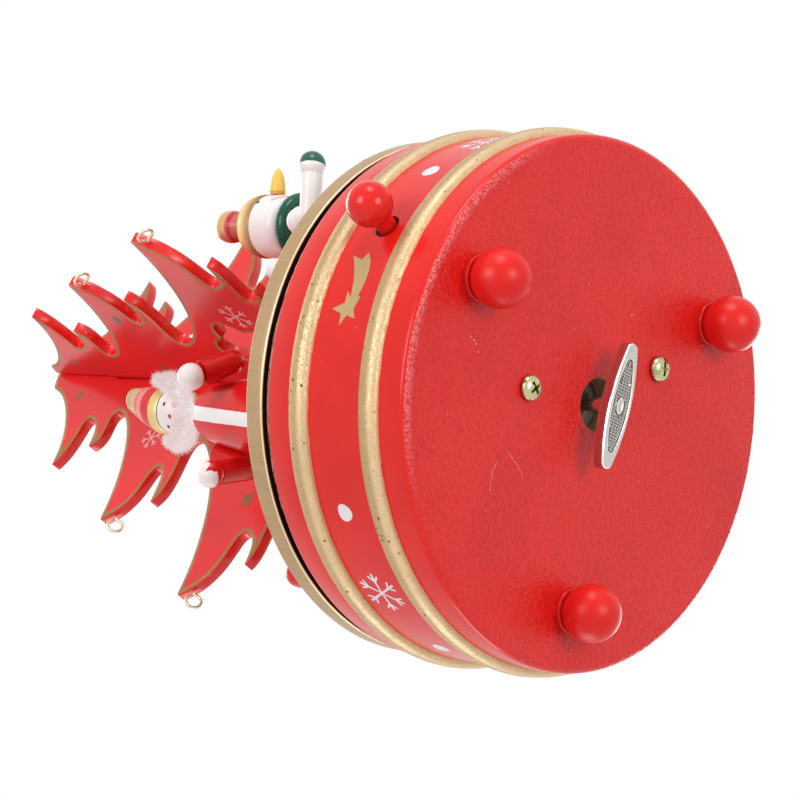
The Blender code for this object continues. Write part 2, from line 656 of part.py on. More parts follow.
def tree_panel(slot_at_top):
    right = [(x, z) for x, z in half_outline()]
    s = (PANEL_T / 2 + GAP) / MM
    lap = TREE_LAP_Z / MM
    top = TREE_TOP / MM
    foot = right[-1][1]
    if slot_at_top:
        centre_top = [(-s, top), (-s, lap - 0.15), (s, lap - 0.15), (s, top)]
        outline = centre_top + right + [(-x, z) for x, z in reversed(right)]
    else:
        outline = [(0.0, top)] + right + [(s, foot), (s, lap + 0.15), (-s, lap + 0.15),
                                          (-s, foot)] + [(-x, z) for x, z in reversed(right)]
    bm = prism([(x * MM, z * MM + FOOT_H) for x, z in outline], -PANEL_T / 2, PANEL_T / 2)
    bmesh.ops.transform(bm, verts=bm.verts,
                        matrix=Matrix(((1, 0, 0, 0), (0, 0, -1, 0), (0, 1, 0, 0), (0, 0, 0, 1))))
    return bm


panel_paint = material("tree_panel_paint", (0.66, 0.012, 0.014), 0.32)
for name, angle, top_slot in (("tree_panel_a", TREE_ANGLE, True),
                              ("tree_panel_b", TREE_ANGLE - 90, False)):
    add(name, tree_panel(top_slot), panel_paint, at=(*TREE_AT, 0.0), turn=angle,
        parent=table_pivot, smooth=False)


def screw_eye(tier, twist):
    """Ring of wire on a stem that leaves the branch's edge a little below its tip."""
    tip, pocket = TIERS[tier - 1][:2]
    before = tip
    for after in branch_underside(tip, pocket):
        if tip[1] - after[1] > EYE_BELOW_TIP:
            break
        before = after
    share = (before[1] - tip[1] + EYE_BELOW_TIP) / (before[1] - after[1])
    root = Vector(before).lerp(Vector(after), share)
    run = (Vector(after) - Vector(before)).normalized()
    base = Vector((root[0], 0.0, root[1]))
    out = (Vector((-run[1], 0.0, run[0])) + Vector((0.35, 0.0, 0.0))).normalized()
    lie = Matrix.Rotation(twist, 3, out) @ Vector((0.0, 1.0, 0.0))
    centre = base + out * (EYE_RING_R + 1.15)
    points = [base + out * 0.45, base + out * 0.9]
    for i in range(11):
        a = math.radians(-115 - 31 * i)
        points.append(centre + EYE_RING_R * (math.cos(a) * lie + math.sin(a) * out))
    return tube([p * MM for p in points], EYE_WIRE_R * MM, 5)


for wing in range(4):
    for tier in EYE_TIERS:
        add(f"screw_eye_{wing + 1}_{tier}", screw_eye(tier, math.radians(EYE_TWISTS[wing])), brass,
            at=(*TREE_AT, FOOT_H), turn=TREE_ANGLE + 90 * wing, parent=table_pivot)


# Figures, each built facing +X about its own upright axis

def figure(name, bm, mat, at, turn, smooth=True):
    return add(name, bm, mat, at=(*at, TABLE_TOP + GAP), turn=turn, parent=table_pivot,
               smooth=smooth)


def scaled(points):
    return [(r * MM, z * MM) for r, z in points]


def arm(shoulder, elbow, wrist, radius):
    """Bent sleeve: from the shoulder down to the elbow and forward to the wrist."""
    s, e, w = Vector(shoulder), Vector(elbow), Vector(wrist)
    first, last = (e - s).normalized(), (w - e).normalized()
    path = [s, s + first * 0.9, e - first * 2.0, e - first * 0.7 + last * 0.3,
            e + last * 0.9 - first * 0.1, e + last * 2.4, w]
    radii = [radius * 0.55, radius, radius, radius, radius, radius, radius]
    return tube([p * MM for p in path], [r * MM for r in radii], 10)


def placed_ball(centre, radius, segments=12, rings=7):
    bm = ball(radius * MM, segments, rings)
    bmesh.ops.translate(bm, verts=bm.verts, vec=Vector(centre) * MM)
    return bm


skin = material("doll_face", (0.90, 0.72, 0.66), 0.35)
robe_paint = material("robe_paint", RED, 0.3)
white_paint = material("white_paint", WHITE, 0.3)
fur = material("white_fur", (0.88, 0.86, 0.88), 0.9)

HEAD_Z = 45.0
CAP_Z = HEAD_Z + 2.7
CAP_LEAN = 0.22
COLLAR_R = 7.0
COLLAR_AHEAD = 2.3
COLLAR_RISE = 5.0                   # how far the fur goes on above the middle of the head

figure("doll_robe", lathe(scaled([(0, 0), (10.6, 0), (11.2, 0.7), (9.8, 10), (8.3, 20), (6.7, 30),
                                  (5.6, 34.4), (4.5, 36.0), (2.5, 36.6), (2.4, 39.4), (0, 39.4)]),
                          20), robe_paint, DOLL_AT, DOLL_ANGLE)
figure("doll_head", lathe(scaled([(0, HEAD_Z - 5.2), (2.0, HEAD_Z - 4.8)]
                                 + dome(5.2, HEAD_Z, -52, 27, 7) + [(0, HEAD_Z + 2.36)]), 20),
       skin, DOLL_AT, DOLL_ANGLE)
cap = lathe(scaled([(0, CAP_Z), (4.7, CAP_Z), (5.1, CAP_Z + 0.5), (5.1, CAP_Z + 2.6),
                    (4.8, CAP_Z + 3.4), (4.5, CAP_Z + 5.2), (3.8, CAP_Z + 7.7),
                    (3.1, CAP_Z + 9.8), (2.85, CAP_Z + 10.8), (2.5, CAP_Z + 11.7),
                    (1.5, CAP_Z + 12.5), (0, CAP_Z + 12.8)]), 18)
for vert in cap.verts:
    vert.co.y += CAP_LEAN * max(0.0, vert.co.z - (CAP_Z + 2.6) * MM)
figure("doll_cap", cap, material("cap_paint", (0.75, 0.04, 0.05), 0.3), DOLL_AT, DOLL_ANGLE)


def hood_edge():
    """Middle line of the fur: under the chin, up both cheeks and on beside the cap."""
    bend = [(COLLAR_R * math.cos(a), COLLAR_R * math.sin(a))
            for a in (math.radians(180 + 15 * i) for i in range(13))]
    line = [(-COLLAR_R, COLLAR_RISE), (-COLLAR_R, COLLAR_RISE / 2)] + bend
    line += [(COLLAR_R, COLLAR_RISE / 2), (COLLAR_R, COLLAR_RISE)]
    tilt = math.radians(78)
    return [Vector((COLLAR_AHEAD - up * math.cos(tilt), side, HEAD_Z + 0.3 + up * math.sin(tilt))) * MM
            for side, up in line]


fur_radii = [1.2] + [1.7] * 5 + [1.5, 1.4, 1.35, 1.4, 1.5] + [1.7] * 5 + [1.2]
figure("doll_fur_collar", tube(hood_edge(), [r * MM for r in fur_radii], 8), fur, DOLL_AT,
       DOLL_ANGLE)
for word, shoulder, elbow, wrist, hand in (
        ("left", (0.4, 8.6, 34.6), (0.0, 11.7, 25.4), (8.5, 10.9, 26.2), (11.9, 10.7, 26.4)),
        ("right", (0.4, -8.6, 34.6), (0.3, -11.2, 24.4), (10.2, -9.7, 22.9), (13.6, -9.3, 22.5))):
    figure(f"doll_arm_{word}", arm(shoulder, elbow, wrist, 2.55), robe_paint, DOLL_AT, DOLL_ANGLE)
    figure(f"doll_hand_{word}", placed_ball(hand, 2.85), skin, DOLL_AT, DOLL_ANGLE)

figure("snowman_body", lathe(scaled([(0, 0), (5.2, 0), (6.8, 1.2), (7.8, 4.5), (8.1, 8), (8.0, 14),
                                     (6.9, 21), (6.0, 26), (5.4, 29.2), (4.4, 30.8), (3.4, 31.2),
                                     (3.4, 35.2), (0, 35.2)]), 20),
       white_paint, SNOWMAN_AT, SNOWMAN_ANGLE)
ring = [Vector((5.6 * math.cos(a), 5.6 * math.sin(a), 33.3)) * MM
        for a in (2 * math.pi * i / 20 for i in range(20))]
figure("snowman_scarf", tube(ring, 1.7 * MM, 8, closed=True),
       material("scarf_green", (0.012, 0.10, 0.055), 0.3), SNOWMAN_AT, SNOWMAN_ANGLE)
figure("snowman_head", lathe(scaled([(0, 35.5), (5.2, 35.5), (6.5, 36.7), (6.9, 38.7), (6.9, 41.2),
                                     (6.85, 42.9), (0, 42.9)]), 20),
       white_paint, SNOWMAN_AT, SNOWMAN_ANGLE)
figure("snowman_hat", lathe(scaled([(0, 43.2), (6.85, 43.2), (7.0, 44.2), (6.7, 46.0), (5.8, 47.8),
                                    (4.3, 49.2), (2.8, 50.0), (2.3, 51.1), (0, 51.1)]), 18),
       gold_paint, SNOWMAN_AT, SNOWMAN_ANGLE)
figure("snowman_bobble", lathe(scaled([(0, 51.4), (2.4, 51.4), (2.9, 52.6), (3.45, 54.0),
                                       (3.6, 55.4), (3.4, 56.9), (2.5, 58.3), (1.3, 59.0),
                                       (0, 59.2)]), 14),
       gold_paint, SNOWMAN_AT, SNOWMAN_ANGLE)
nose = tube([Vector((x, 0, 41.4)) * MM for x in (7.25, 8.5, 10.2, 11.7, 12.6)],
            [r * MM for r in (1.75, 1.75, 1.45, 0.95, 0.4)], 10)
figure("snowman_nose", nose, material("carrot", (0.85, 0.50, 0.08), 0.45), SNOWMAN_AT,
       SNOWMAN_ANGLE)
for side, word in ((1, "left"), (-1, "right")):
    figure(f"snowman_arm_{word}", arm((0.3, 8.3 * side, 27.0), (-0.5, 9.7 * side, 20.6),
                                      (9.2, 8.9 * side, 21.6), 2.25),
           white_paint, SNOWMAN_AT, SNOWMAN_ANGLE)
    figure(f"snowman_mitten_{word}", placed_ball((12.4, 8.7 * side, 21.9), 2.9),
           material(f"mitten_{word}", (0.015, 0.11, 0.06), 0.25), SNOWMAN_AT, SNOWMAN_ANGLE)

peg = scaled([(0, 0), (2.0, 0), (2.2, 0.4), (2.2, 17.2), (1.9, 18.6), (1.2, 19.4), (0, 19.7)])
figure("white_peg", lathe(peg, 14), white_paint, (25.0 * MM, -30.0 * MM), 0)
low_peg = scaled([(0, 0), (2.8, 0), (3.0, 0.4), (3.0, 13.6), (2.7, 15.3), (1.9, 16.5), (1.0, 17.0),
                  (0, 17.1)])
figure("red_peg", lathe(low_peg, 14), robe_paint, (-37.9 * MM, -22.2 * MM), 0)
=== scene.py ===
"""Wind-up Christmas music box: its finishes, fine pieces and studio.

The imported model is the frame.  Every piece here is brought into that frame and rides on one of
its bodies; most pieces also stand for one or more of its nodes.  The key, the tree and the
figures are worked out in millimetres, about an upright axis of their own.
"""
import math
import random
from functools import partial

import bmesh
import bpy
import numpy as np
from bpy.props import FloatProperty, FloatVectorProperty, IntProperty, PointerProperty
from bpy.types import Operator, Panel, PropertyGroup
from mathutils import Matrix, Vector
from mathutils.geometry import delaunay_2d_cdt


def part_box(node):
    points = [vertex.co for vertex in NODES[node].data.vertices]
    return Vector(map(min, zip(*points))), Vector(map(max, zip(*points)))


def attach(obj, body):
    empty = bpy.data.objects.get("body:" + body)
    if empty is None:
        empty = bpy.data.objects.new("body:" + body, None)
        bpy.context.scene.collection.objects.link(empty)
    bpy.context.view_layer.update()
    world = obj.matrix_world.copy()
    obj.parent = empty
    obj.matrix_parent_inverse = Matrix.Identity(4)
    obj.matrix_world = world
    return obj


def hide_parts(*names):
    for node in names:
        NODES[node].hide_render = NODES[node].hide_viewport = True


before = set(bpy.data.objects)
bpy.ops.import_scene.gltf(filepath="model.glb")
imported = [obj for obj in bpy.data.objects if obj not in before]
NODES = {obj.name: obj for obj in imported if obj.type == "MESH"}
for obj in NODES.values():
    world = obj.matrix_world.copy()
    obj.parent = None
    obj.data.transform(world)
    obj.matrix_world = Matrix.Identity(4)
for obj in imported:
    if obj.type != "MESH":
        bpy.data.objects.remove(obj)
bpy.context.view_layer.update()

bl_info = {
    "name": "Wind-up Music Box",
    "version": (1, 0, 0),
    "blender": (4, 5, 0),
    "location": "View3D > Sidebar > Music Box",
    "description": "Finishes, fine pieces and studio of a painted wooden music box",
    "category": "Add Mesh",
}

MM = 0.001
GAP = 0.3 * MM
DRUM_LOW, DRUM_TOP = (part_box("drum")[k][2] for k in (0, 1))
TABLE_LOW, TABLE_TOP = (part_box("turntable")[k][2] for k in (0, 1))
TABLE_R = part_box("turntable")[1][0]
TABLE_REBATE = TABLE_LOW + 0.93 * MM
FEET = ("foot_1", "foot_2", "foot_3")
BEADS = (9.2 * MM, 28.3 * MM)
LID_SEAT_UP = 33 * MM
DRUM_FLOOR = 5 * MM
KEY_HOLE = (0.0, 1.9 * MM)
KEY_HOLE_R = 5.4 * MM
SCREW_HOLES = ((2.7 * MM, -19.1 * MM), (7.9 * MM, 20.1 * MM))
SCREW_HOLE_R = 1.6 * MM
KEY_THICK = 2.6
KEY_ANGLE = 15.6
STOP_ANGLE = -52.7
STOP_UP = 17.4 * MM
STOP_HOLE_R = 2.7 * MM
KNOB_OUT = 60.4 * MM
KNOB_R = 4.6
FOOT_RING_R = 4.25
FOOT_RING_THICK = 0.5 * MM
EYE_WIRE_R = 0.34 * MM
PANEL_T = 2.7
TREE_AT = (1.7 * MM, 0.0)
TREE_ANGLE = -58.4
DOLL_AT = (-5.6 * MM, -30.0 * MM)
DOLL_ANGLE = -104.0
SNOWMAN_AT = (35.5 * MM, -8.0 * MM)
HAND_R = 2.85
HEAD_R = 5.2
HEAD_Z = 45.0
CAP_Z = HEAD_Z + 2.7
CAP_LEAN = 0.22
COLLAR_R = 7.0
COLLAR_AHEAD = 2.3
COLLAR_RISE = 5.0
SCARF_R = 5.6
SCARF_Z = 33.3
SCARF_THICK = 1.7
MITTEN_R = 2.9
SNOW_HEAD_R = 6.9


def colour(name, words, default):
    return FloatVectorProperty(name=name, description=words, subtype="COLOR", size=3, min=0.0,
                               max=1.0, default=default)


def length(name, words, default):
    return FloatProperty(name=name, description=words, default=default, min=0.0, precision=5,
                         subtype="DISTANCE", unit="LENGTH")


class MusicBoxColours(PropertyGroup):
    lacquer: colour("Lacquer", "Red gloss on the drum, feet and knob", (0.765, 0.014, 0.010))
    lacquer_shade: colour("Lacquer Shade", "Red where the lacquer lies thicker",
                          (0.70, 0.010, 0.008))
    gold: colour("Bead Gold", "Gold paint on the drum's beads", (0.81, 0.59, 0.34))
    table_gold: colour("Table Gold", "Satin gold on the turntable", (0.50, 0.325, 0.165))
    line_gold: colour("Line Gold", "Painted outline and stars of the tree", (0.38, 0.205, 0.075))
    tree: colour("Tree", "Red gloss on the tree's panels", (0.84, 0.010, 0.012))
    robe: colour("Robe", "Red gloss on the doll's robe", (0.74, 0.010, 0.010))
    white: colour("White", "Gloss white of the snowman and the ornaments", (0.90, 0.86, 0.86))
    skin: colour("Skin", "Pale pink of the doll's face and hands", (0.97, 0.84, 0.83))
    hair: colour("Hair", "Gold band round the doll's face", (0.78, 0.56, 0.22))
    pink: colour("Pink", "Pale stripe of the doll's cap", (0.84, 0.22, 0.22))
    blush: colour("Blush", "Cheeks and painted smile", (0.90, 0.28, 0.40))
    green: colour("Green", "Scarf and mittens", (0.012, 0.105, 0.060))
    carrot: colour("Carrot", "Snowman's nose", (0.92, 0.56, 0.11))
    chrome: colour("Chrome", "Winding key", (0.60, 0.575, 0.55))
    zinc: colour("Yellow Zinc", "Screws that hold the movement", (0.56, 0.52, 0.30))
    brass: colour("Brass", "Screw eyes, barrel and pinned cylinder", (0.70, 0.56, 0.34))
    nickel: colour("Nickel", "Bedplate and brackets", (0.52, 0.50, 0.46))
    steel: colour("Steel", "Comb, shafts and wire", (0.58, 0.57, 0.55))
    board: colour("Board", "Bare fibreboard and turned wood inside the drum", (0.52, 0.32, 0.16))
    fur: colour("Fur", "White plush collar", (0.95, 0.97, 1.0))
    floor: colour("Floor", "Studio floor", (0.80, 0.80, 0.80))


class MusicBoxSizes(PropertyGroup):
    drum_radius: length("Drum Radius", "Turned drum, without its beads", 54.0 * MM)
    drum_edge: length("Drum Edge", "Rounding of the drum's lower edge", 1.4 * MM)
    bead_half: length("Bead Half Width", "Half the width of a gold bead", 2.4 * MM)
    bead_out: length("Bead Height", "How far a bead stands out", 1.58 * MM)
    bore_radius: length("Bore Radius", "Inside of the drum", 47.5 * MM)
    seat_radius: length("Lid Seat Radius", "Rebate that the lid lies in", 49.0 * MM)
    line_width: length("Outline Width", "Gold line along the tree's edges", 1.0 * MM)
    board_edge: length("Panel Edge", "Rounding of the tree panels' edges", 0.32 * MM)
    paint: length("Paint Height", "How far painted ornaments stand proud", 0.035 * MM)
    strand: length("Fur Length", "Length of the collar's strands", 2.3 * MM)
    strands: IntProperty(name="Fur Strands", description="Strands in the doll's collar",
                         default=8000, min=200, max=20000)


class MusicBoxStudio(PropertyGroup):
    floor_size: length("Floor Size", "Side of the studio floor", 3.0)
    world: FloatProperty(name="Tent Strength", description="Even light from all round",
                         default=0.56, min=0.0)
    key_power: FloatProperty(name="Lamp Power", description="Power of the main soft lamp",
                             default=4.0, min=0.0, subtype="POWER", unit="POWER")


# Shader groups and materials

class Recipe:
    """Adds nodes to a tree; a value may be another node's socket, a number or a tuple."""

    def __init__(self, tree):
        self.tree = tree

    def add(self, kind, values=(), **settings):
        node = self.tree.nodes.new(kind)
        for key, value in settings.items():
            setattr(node, key, value)
        self.wire(node.inputs, dict(values))
        return node

    def wire(self, sockets, values):
        for key, value in values.items():
            self.feed(sockets[key], value)

    def feed(self, socket, value):
        if isinstance(value, bpy.types.NodeSocket):
            self.tree.links.new(value, socket)
        elif socket.type == "RGBA" and len(value) == 3:
            socket.default_value = (*value, 1.0)
        else:
            socket.default_value = value

    def calc(self, operation, *values, clamp=False):
        return self.add("ShaderNodeMath", dict(enumerate(values)), operation=operation,
                        use_clamp=clamp).outputs[0]

    def times(self, product, *values):
        for value in values:
            product = self.calc("MULTIPLY", product, value)
        return product

    def mix(self, mask, first, second, blend="MIX"):
        return self.add("ShaderNodeMix", {0: mask, 6: first, 7: second}, data_type="RGBA",
                        blend_type=blend).outputs[2]

    def blend(self, mask, first, second):
        return self.add("ShaderNodeMix", {0: mask, 2: first, 3: second}).outputs[0]

    def scaled(self, colour, factor):
        return self.add("ShaderNodeVectorMath", {0: colour, "Scale": factor},
                        operation="SCALE").outputs[0]

    def ramp(self, value, low, high, start=0.0, end=1.0):
        return self.add("ShaderNodeMapRange", {0: value, 1: low, 2: high, 3: start, 4: end},
                        interpolation_type="SMOOTHSTEP").outputs[0]

    def bump(self, height, distance, strength=1.0):
        return self.add("ShaderNodeBump", {"Strength": strength, "Distance": distance,
                                           "Height": height}).outputs[0]

    def where(self):
        return self.add("ShaderNodeTexCoord").outputs["Object"]

    def axes(self, vector):
        return self.add("ShaderNodeSeparateXYZ", {0: vector}).outputs

    def stretch(self, where, scale):
        return self.add("ShaderNodeMapping", {"Vector": where, "Scale": scale}).outputs[0]

    def known(self, name, output="Fac"):
        """What the vertices know under a name."""
        return self.add("ShaderNodeAttribute", attribute_name=name).outputs[output]

    def local(self):
        """A piece's own coordinates, in millimetres."""
        return self.axes(self.known("local", "Vector"))

    def noise(self, where, scale, detail=2.0, roughness=0.5):
        return self.add("ShaderNodeTexNoise", {"Vector": where, "Scale": scale, "Detail": detail,
                                               "Roughness": roughness}).outputs[0]

    def dots(self, where, scale, rarity, far, near, channel=0):
        """Mask of round dots in the few cells whose colour channel is above the rarity."""
        cells = self.add("ShaderNodeTexVoronoi", {"Vector": where, "Scale": scale}).outputs
        tone = self.add("ShaderNodeSeparateColor", {0: cells["Color"]}).outputs[channel]
        return self.times(self.ramp(cells["Distance"], far, near),
                          self.calc("GREATER_THAN", tone, rarity))


def group(name, inputs, outputs=(("Color", "Colour"), ("Float", "Roughness"),
                                 ("Vector", "Normal"))):
    """An empty shader group: its recipe, its input sockets and its output sockets."""
    tree = bpy.data.node_groups.new(name, "ShaderNodeTree")
    for kind, socket, default in inputs:
        made = tree.interface.new_socket(socket, in_out="INPUT", socket_type=f"NodeSocket{kind}")
        made.default_value = (*default, 1.0) if kind == "Color" else default
    for kind, socket in outputs:
        tree.interface.new_socket(socket, in_out="OUTPUT", socket_type=f"NodeSocket{kind}")
    recipe = Recipe(tree)
    return recipe, recipe.add("NodeGroupInput").outputs, recipe.add("NodeGroupOutput").inputs


def lacquer_group():
    """Gloss paint on turned wood: slow colour drift, orange peel with painted shade in its hollows
    and painted glints on its ridges, pinholes and dust.
    """
    r, given, out = group("lacquered_wood", (
        ("Color", "Colour", (0.6, 0.01, 0.01)), ("Color", "Shade", (0.5, 0.01, 0.01)),
        ("Float", "Roughness", 0.3), ("Float", "Peel Scale", 900.0), ("Float", "Peel", 0.00002),
        ("Float", "Hollows", 0.0), ("Float", "Pits", 0.3)))
    where = r.where()
    drift = r.noise(where, 55.0, 3.0)
    peel = r.noise(where, given["Peel Scale"], 3.0, 0.6)
    pit = r.times(r.dots(where, 330.0, 0.86, 0.11, 0.04), given["Pits"])
    peel_shade = r.times(r.ramp(peel, 0.52, 0.34), given["Hollows"])
    glint = r.times(r.ramp(peel, 0.60, 0.74), given["Hollows"], 0.12)
    base = r.mix(r.ramp(drift, 0.35, 0.7), given["Colour"], given["Shade"])
    # Painted shade: the colour darkens in the hollows of the orange peel.
    base = r.mix(peel_shade, base, r.scaled(base, 0.62))
    # Painted glint: pink is mixed into the colour on the ridges of the orange peel.
    base = r.mix(glint, base, (0.95, 0.30, 0.26))
    rough = r.calc("ADD", given["Roughness"], r.ramp(drift, 0.3, 0.75, -0.03, 0.04))
    height = r.calc("SUBTRACT", peel, r.times(pit, 0.8))
    r.wire(out, {"Colour": r.mix(r.times(pit, 0.55), base, (0.85, 0.35, 0.30)),
                 "Roughness": r.calc("ADD", rough, r.times(pit, 0.3), clamp=True),
                 "Normal": r.bump(height, given["Peel"])})


def gold_group():
    """Metallic paint: bright flakes in a duller ground, brush drag, leathery creases darkened with
    painted shade, and pits.
    """
    r, given, out = group("gold_paint", (
        ("Color", "Colour", (0.8, 0.6, 0.3)), ("Float", "Depth", 0.6), ("Float", "Flakes", 2600.0),
        ("Float", "Grain", 0.00003), ("Float", "Creases", 0.0)))
    where = r.where()
    flake = r.noise(where, given["Flakes"], 3.0, 0.6)
    drag = r.noise(r.stretch(where, (0.12, 0.12, 1.0)), 1500.0)
    cloud = r.noise(where, 120.0, 3.0)
    tone = r.calc("ADD", r.times(flake, 0.55), r.times(drag, 0.3))
    tone = r.calc("ADD", tone, r.times(cloud, 0.35))
    ridge = r.calc("ABSOLUTE", r.calc("SUBTRACT", r.noise(where, 2000.0, 3.0, 0.65), 0.5))
    crease = r.times(r.ramp(ridge, 0.050, 0.0), given["Creases"])
    pit = r.times(r.dots(where, 900.0, 0.80, 0.36, 0.22), r.ramp(cloud, 0.50, 0.58),
                  given["Creases"])
    dull = r.scaled(given["Colour"], given["Depth"])
    base = r.mix(r.ramp(tone, 0.45, 0.75), dull, given["Colour"])
    # Painted shade: the colour darkens along the creases.
    base = r.mix(r.times(crease, 0.46), base, r.scaled(given["Colour"], 0.42))
    height = r.calc("SUBTRACT", tone, r.times(crease, 0.9))
    r.wire(out, {"Colour": r.mix(pit, base, (0.26, 0.09, 0.04)),
                 "Roughness": r.ramp(tone, 0.4, 0.8, 0.46, 0.32),
                 "Normal": r.bump(height, given["Grain"])})


def metal_group():
    """Handled metal: fine scratches, smears and a little tarnish."""
    r, given, out = group("handled_metal", (
        ("Color", "Colour", (0.6, 0.6, 0.6)), ("Color", "Tarnish", (0.3, 0.25, 0.2)),
        ("Float", "Roughness", 0.2), ("Float", "Wear", 0.5)))
    where = r.where()
    scratch = r.noise(r.stretch(where, (1.0, 0.06, 0.3)), 5200.0, 3.0, 0.65)
    smear = r.times(r.ramp(r.noise(where, 420.0, 4.0, 0.6), 0.5, 0.75), given["Wear"])
    rough = r.calc("ADD", given["Roughness"], r.times(r.ramp(scratch, 0.4, 0.8), 0.14))
    r.wire(out, {"Colour": r.mix(smear, given["Colour"], given["Tarnish"]),
                 "Roughness": r.calc("ADD", rough, r.times(smear, 0.15), clamp=True),
                 "Normal": r.bump(scratch, 0.000008, 0.6)})


def band_group():
    """Mask of a hand-painted band between two values of a coordinate, with a wavering edge."""
    r, given, out = group("painted_band", (
        ("Float", "Coordinate", 0.0), ("Float", "Low", 0.0), ("Float", "High", 1.0),
        ("Float", "Waver", 0.1), ("Float", "Softness", 0.04)), (("Float", "Mask"),))
    shake = r.calc("SUBTRACT", r.noise(r.where(), 420.0, 3.0, 0.6), 0.5)
    value = r.calc("ADD", given["Coordinate"], r.times(shake, given["Waver"]))
    rise, fall = (r.calc("DIVIDE", r.calc("SUBTRACT", high, low), given["Softness"], clamp=True)
                  for high, low in ((value, given["Low"]), (given["High"], value)))
    r.feed(out["Mask"], r.times(rise, fall))


def shaded(tone, share):
    return tuple(share * c for c in tone)


def placed(r, name, **values):
    """Outputs of a shader group that takes the values, its sockets named in lower case."""
    values = {key.replace("_", " ").title(): value for key, value in values.items()}
    return r.add("ShaderNodeGroup", values, node_tree=bpy.data.node_groups[name]).outputs


def lacquered(r, tone, shade, roughness, peel, pits, scale=900.0, hollows=0.0):
    return placed(r, "lacquered_wood", colour=tone, shade=shade, roughness=roughness, peel=peel,
                  pits=pits, peel_scale=scale, hollows=hollows)


def gilded(r, tone, depth, flakes, grain, creases=0.0):
    return placed(r, "gold_paint", colour=tone, depth=depth, flakes=flakes, grain=grain,
                  creases=creases)


def handled(r, tone, tarnish, roughness, wear):
    return placed(r, "handled_metal", colour=tone, tarnish=tarnish, roughness=roughness, wear=wear)


def striped(r, coordinate, low, high, waver, softness):
    return placed(r, "painted_band", coordinate=coordinate, low=low, high=high, waver=waver,
                  softness=softness)["Mask"]


def band(axis, low, high, waver=0.25, softness=0.12):
    """Mask of a band along a local axis, in millimetres."""
    return lambda r: striped(r, r.local()[axis], low, high, waver, softness)


def coat(surface, colour=None, **others):
    """Principled values from a group's outputs, with another colour where one is given."""
    values = {"Base Color": surface["Colour"] if colour is None else colour,
              "Roughness": surface["Roughness"], "Normal": surface["Normal"]}
    values.update({key.replace("_", " "): value for key, value in others.items()})
    return values


def finish(name, recipe, *given):
    """Material whose Principled shader takes the values that a recipe works out."""
    mat = bpy.data.materials.new(name)
    mat.use_nodes = True
    r = Recipe(mat.node_tree)
    r.wire(mat.node_tree.nodes["Principled BSDF"].inputs, recipe(r, *given))
    return mat


def lacquer(name, tone, shade=None, roughness=0.26, peel=0.000012, pits=0.3, scale=900.0):
    shade = shade or shaded(tone, 0.85)
    return finish(name, lambda r: coat(lacquered(r, tone, shade, roughness, peel, pits, scale),
                                       Specular_IOR_Level=0.3))


def gold(name, tone, metallic, depth):
    return finish(name, lambda r: coat(gilded(r, tone, depth, 2600.0, 0.00003),
                                       Metallic=metallic))


def metal(name, tone, tarnish, roughness, wear):
    return finish(name, lambda r: coat(handled(r, tone, tarnish, roughness, wear), Metallic=1.0))


def painted(name, ground, bands, roughness, metallic_bands=()):
    """Lacquer in a ground colour under bands, each a colour and a function that gives its mask."""
    def recipe(r):
        base = lacquered(r, ground, shaded(ground, 0.88), roughness, 0.000012, 0.2)
        tone, shine = base["Colour"], 0.0
        for k, (paint, mask_of) in enumerate(bands):
            mask = mask_of(r)
            tone = r.mix(mask, tone, paint)
            if k in metallic_bands:
                shine = r.calc("MAXIMUM", shine, r.times(mask, 0.7))
        return coat(base, tone, Specular_IOR_Level=0.3, Metallic=shine)
    return finish(name, recipe)


# Mesh helpers

def polar(radius, angle):
    return radius * math.cos(angle), radius * math.sin(angle)


def ellipse(count, half_width, half_height):
    return [(half_width * math.cos(a), half_height * math.sin(a))
            for a in (math.tau * k / count for k in range(count))]


def turned(points, degrees):
    c, s = polar(1.0, math.radians(degrees))
    return [(x * c - y * s, x * s + y * c) for x, y in points]


def level(bm, points, z):
    """Vertices at one height."""
    return [bm.verts.new((x, y, z)) for x, y in points]


def skin(bm, rings, closed=False, caps=True):
    """Join rings of vertices by quads, and the last to the first or else close both ends."""
    for low, high in zip(rings, rings[1:] + (rings[:1] if closed else [])):
        for k in range(len(low)):
            m = (k + 1) % len(low)
            bm.faces.new((low[k], low[m], high[m], high[k]))
    if caps and not closed:
        bm.faces.new(rings[0])
        bm.faces.new(rings[-1])


def revolve(profile, segments):
    """Solid or ring of revolution about Z from (radius, z) points."""
    bm = bmesh.new()
    rings = [level(bm, ellipse(segments if radius > 1e-9 else 1, radius, radius), z)
             for radius, z in profile]
    pairs = list(zip(rings, rings[1:]))
    if len(rings[0]) > 1 and len(rings[-1]) > 1:
        pairs.append((rings[-1], rings[0]))
    for low, high in pairs:
        for i in range(segments):
            j = (i + 1) % segments
            corners = []
            for vert in (low[i % len(low)], low[j % len(low)],
                         high[j % len(high)], high[i % len(high)]):
                if vert not in corners:
                    corners.append(vert)
            if len(corners) > 2:
                bm.faces.new(corners)
    return bm


def arc(radius, z, start, stop, steps):
    """Part of a circle about (0, z), from one elevation to another in degrees."""
    points = (polar(radius, math.radians(start + (stop - start) * i / steps))
              for i in range(steps + 1))
    return [(max(0.0, x), z + y) for x, y in points]


def between(before, a, b, after, t):
    """Point of the Catmull-Rom curve from a to b."""
    return 0.5 * (2 * a + (b - before) * t + (2 * before - 5 * a + 4 * b - after) * t * t
                  + (3 * a - before - 3 * b + after) * t ** 3)


def smooth(points, steps):
    """Smooth curve through points."""
    points = [np.array(p, dtype=float) for p in points]
    padded = [points[0], *points, points[-1]]
    line = [between(*four, k / steps) for four in zip(padded, padded[1:], padded[2:], padded[3:])
            for k in range(steps)]
    return line + [points[-1]]


def spun(points, steps, top, segments=72):
    """Turned solid: a flat foot, a smooth side through (radius, z) points and then its top."""
    side = [(max(0.0, r), z) for r, z in smooth(points, steps)]
    return revolve([(0.0, points[0][1]), *side, *top], segments)


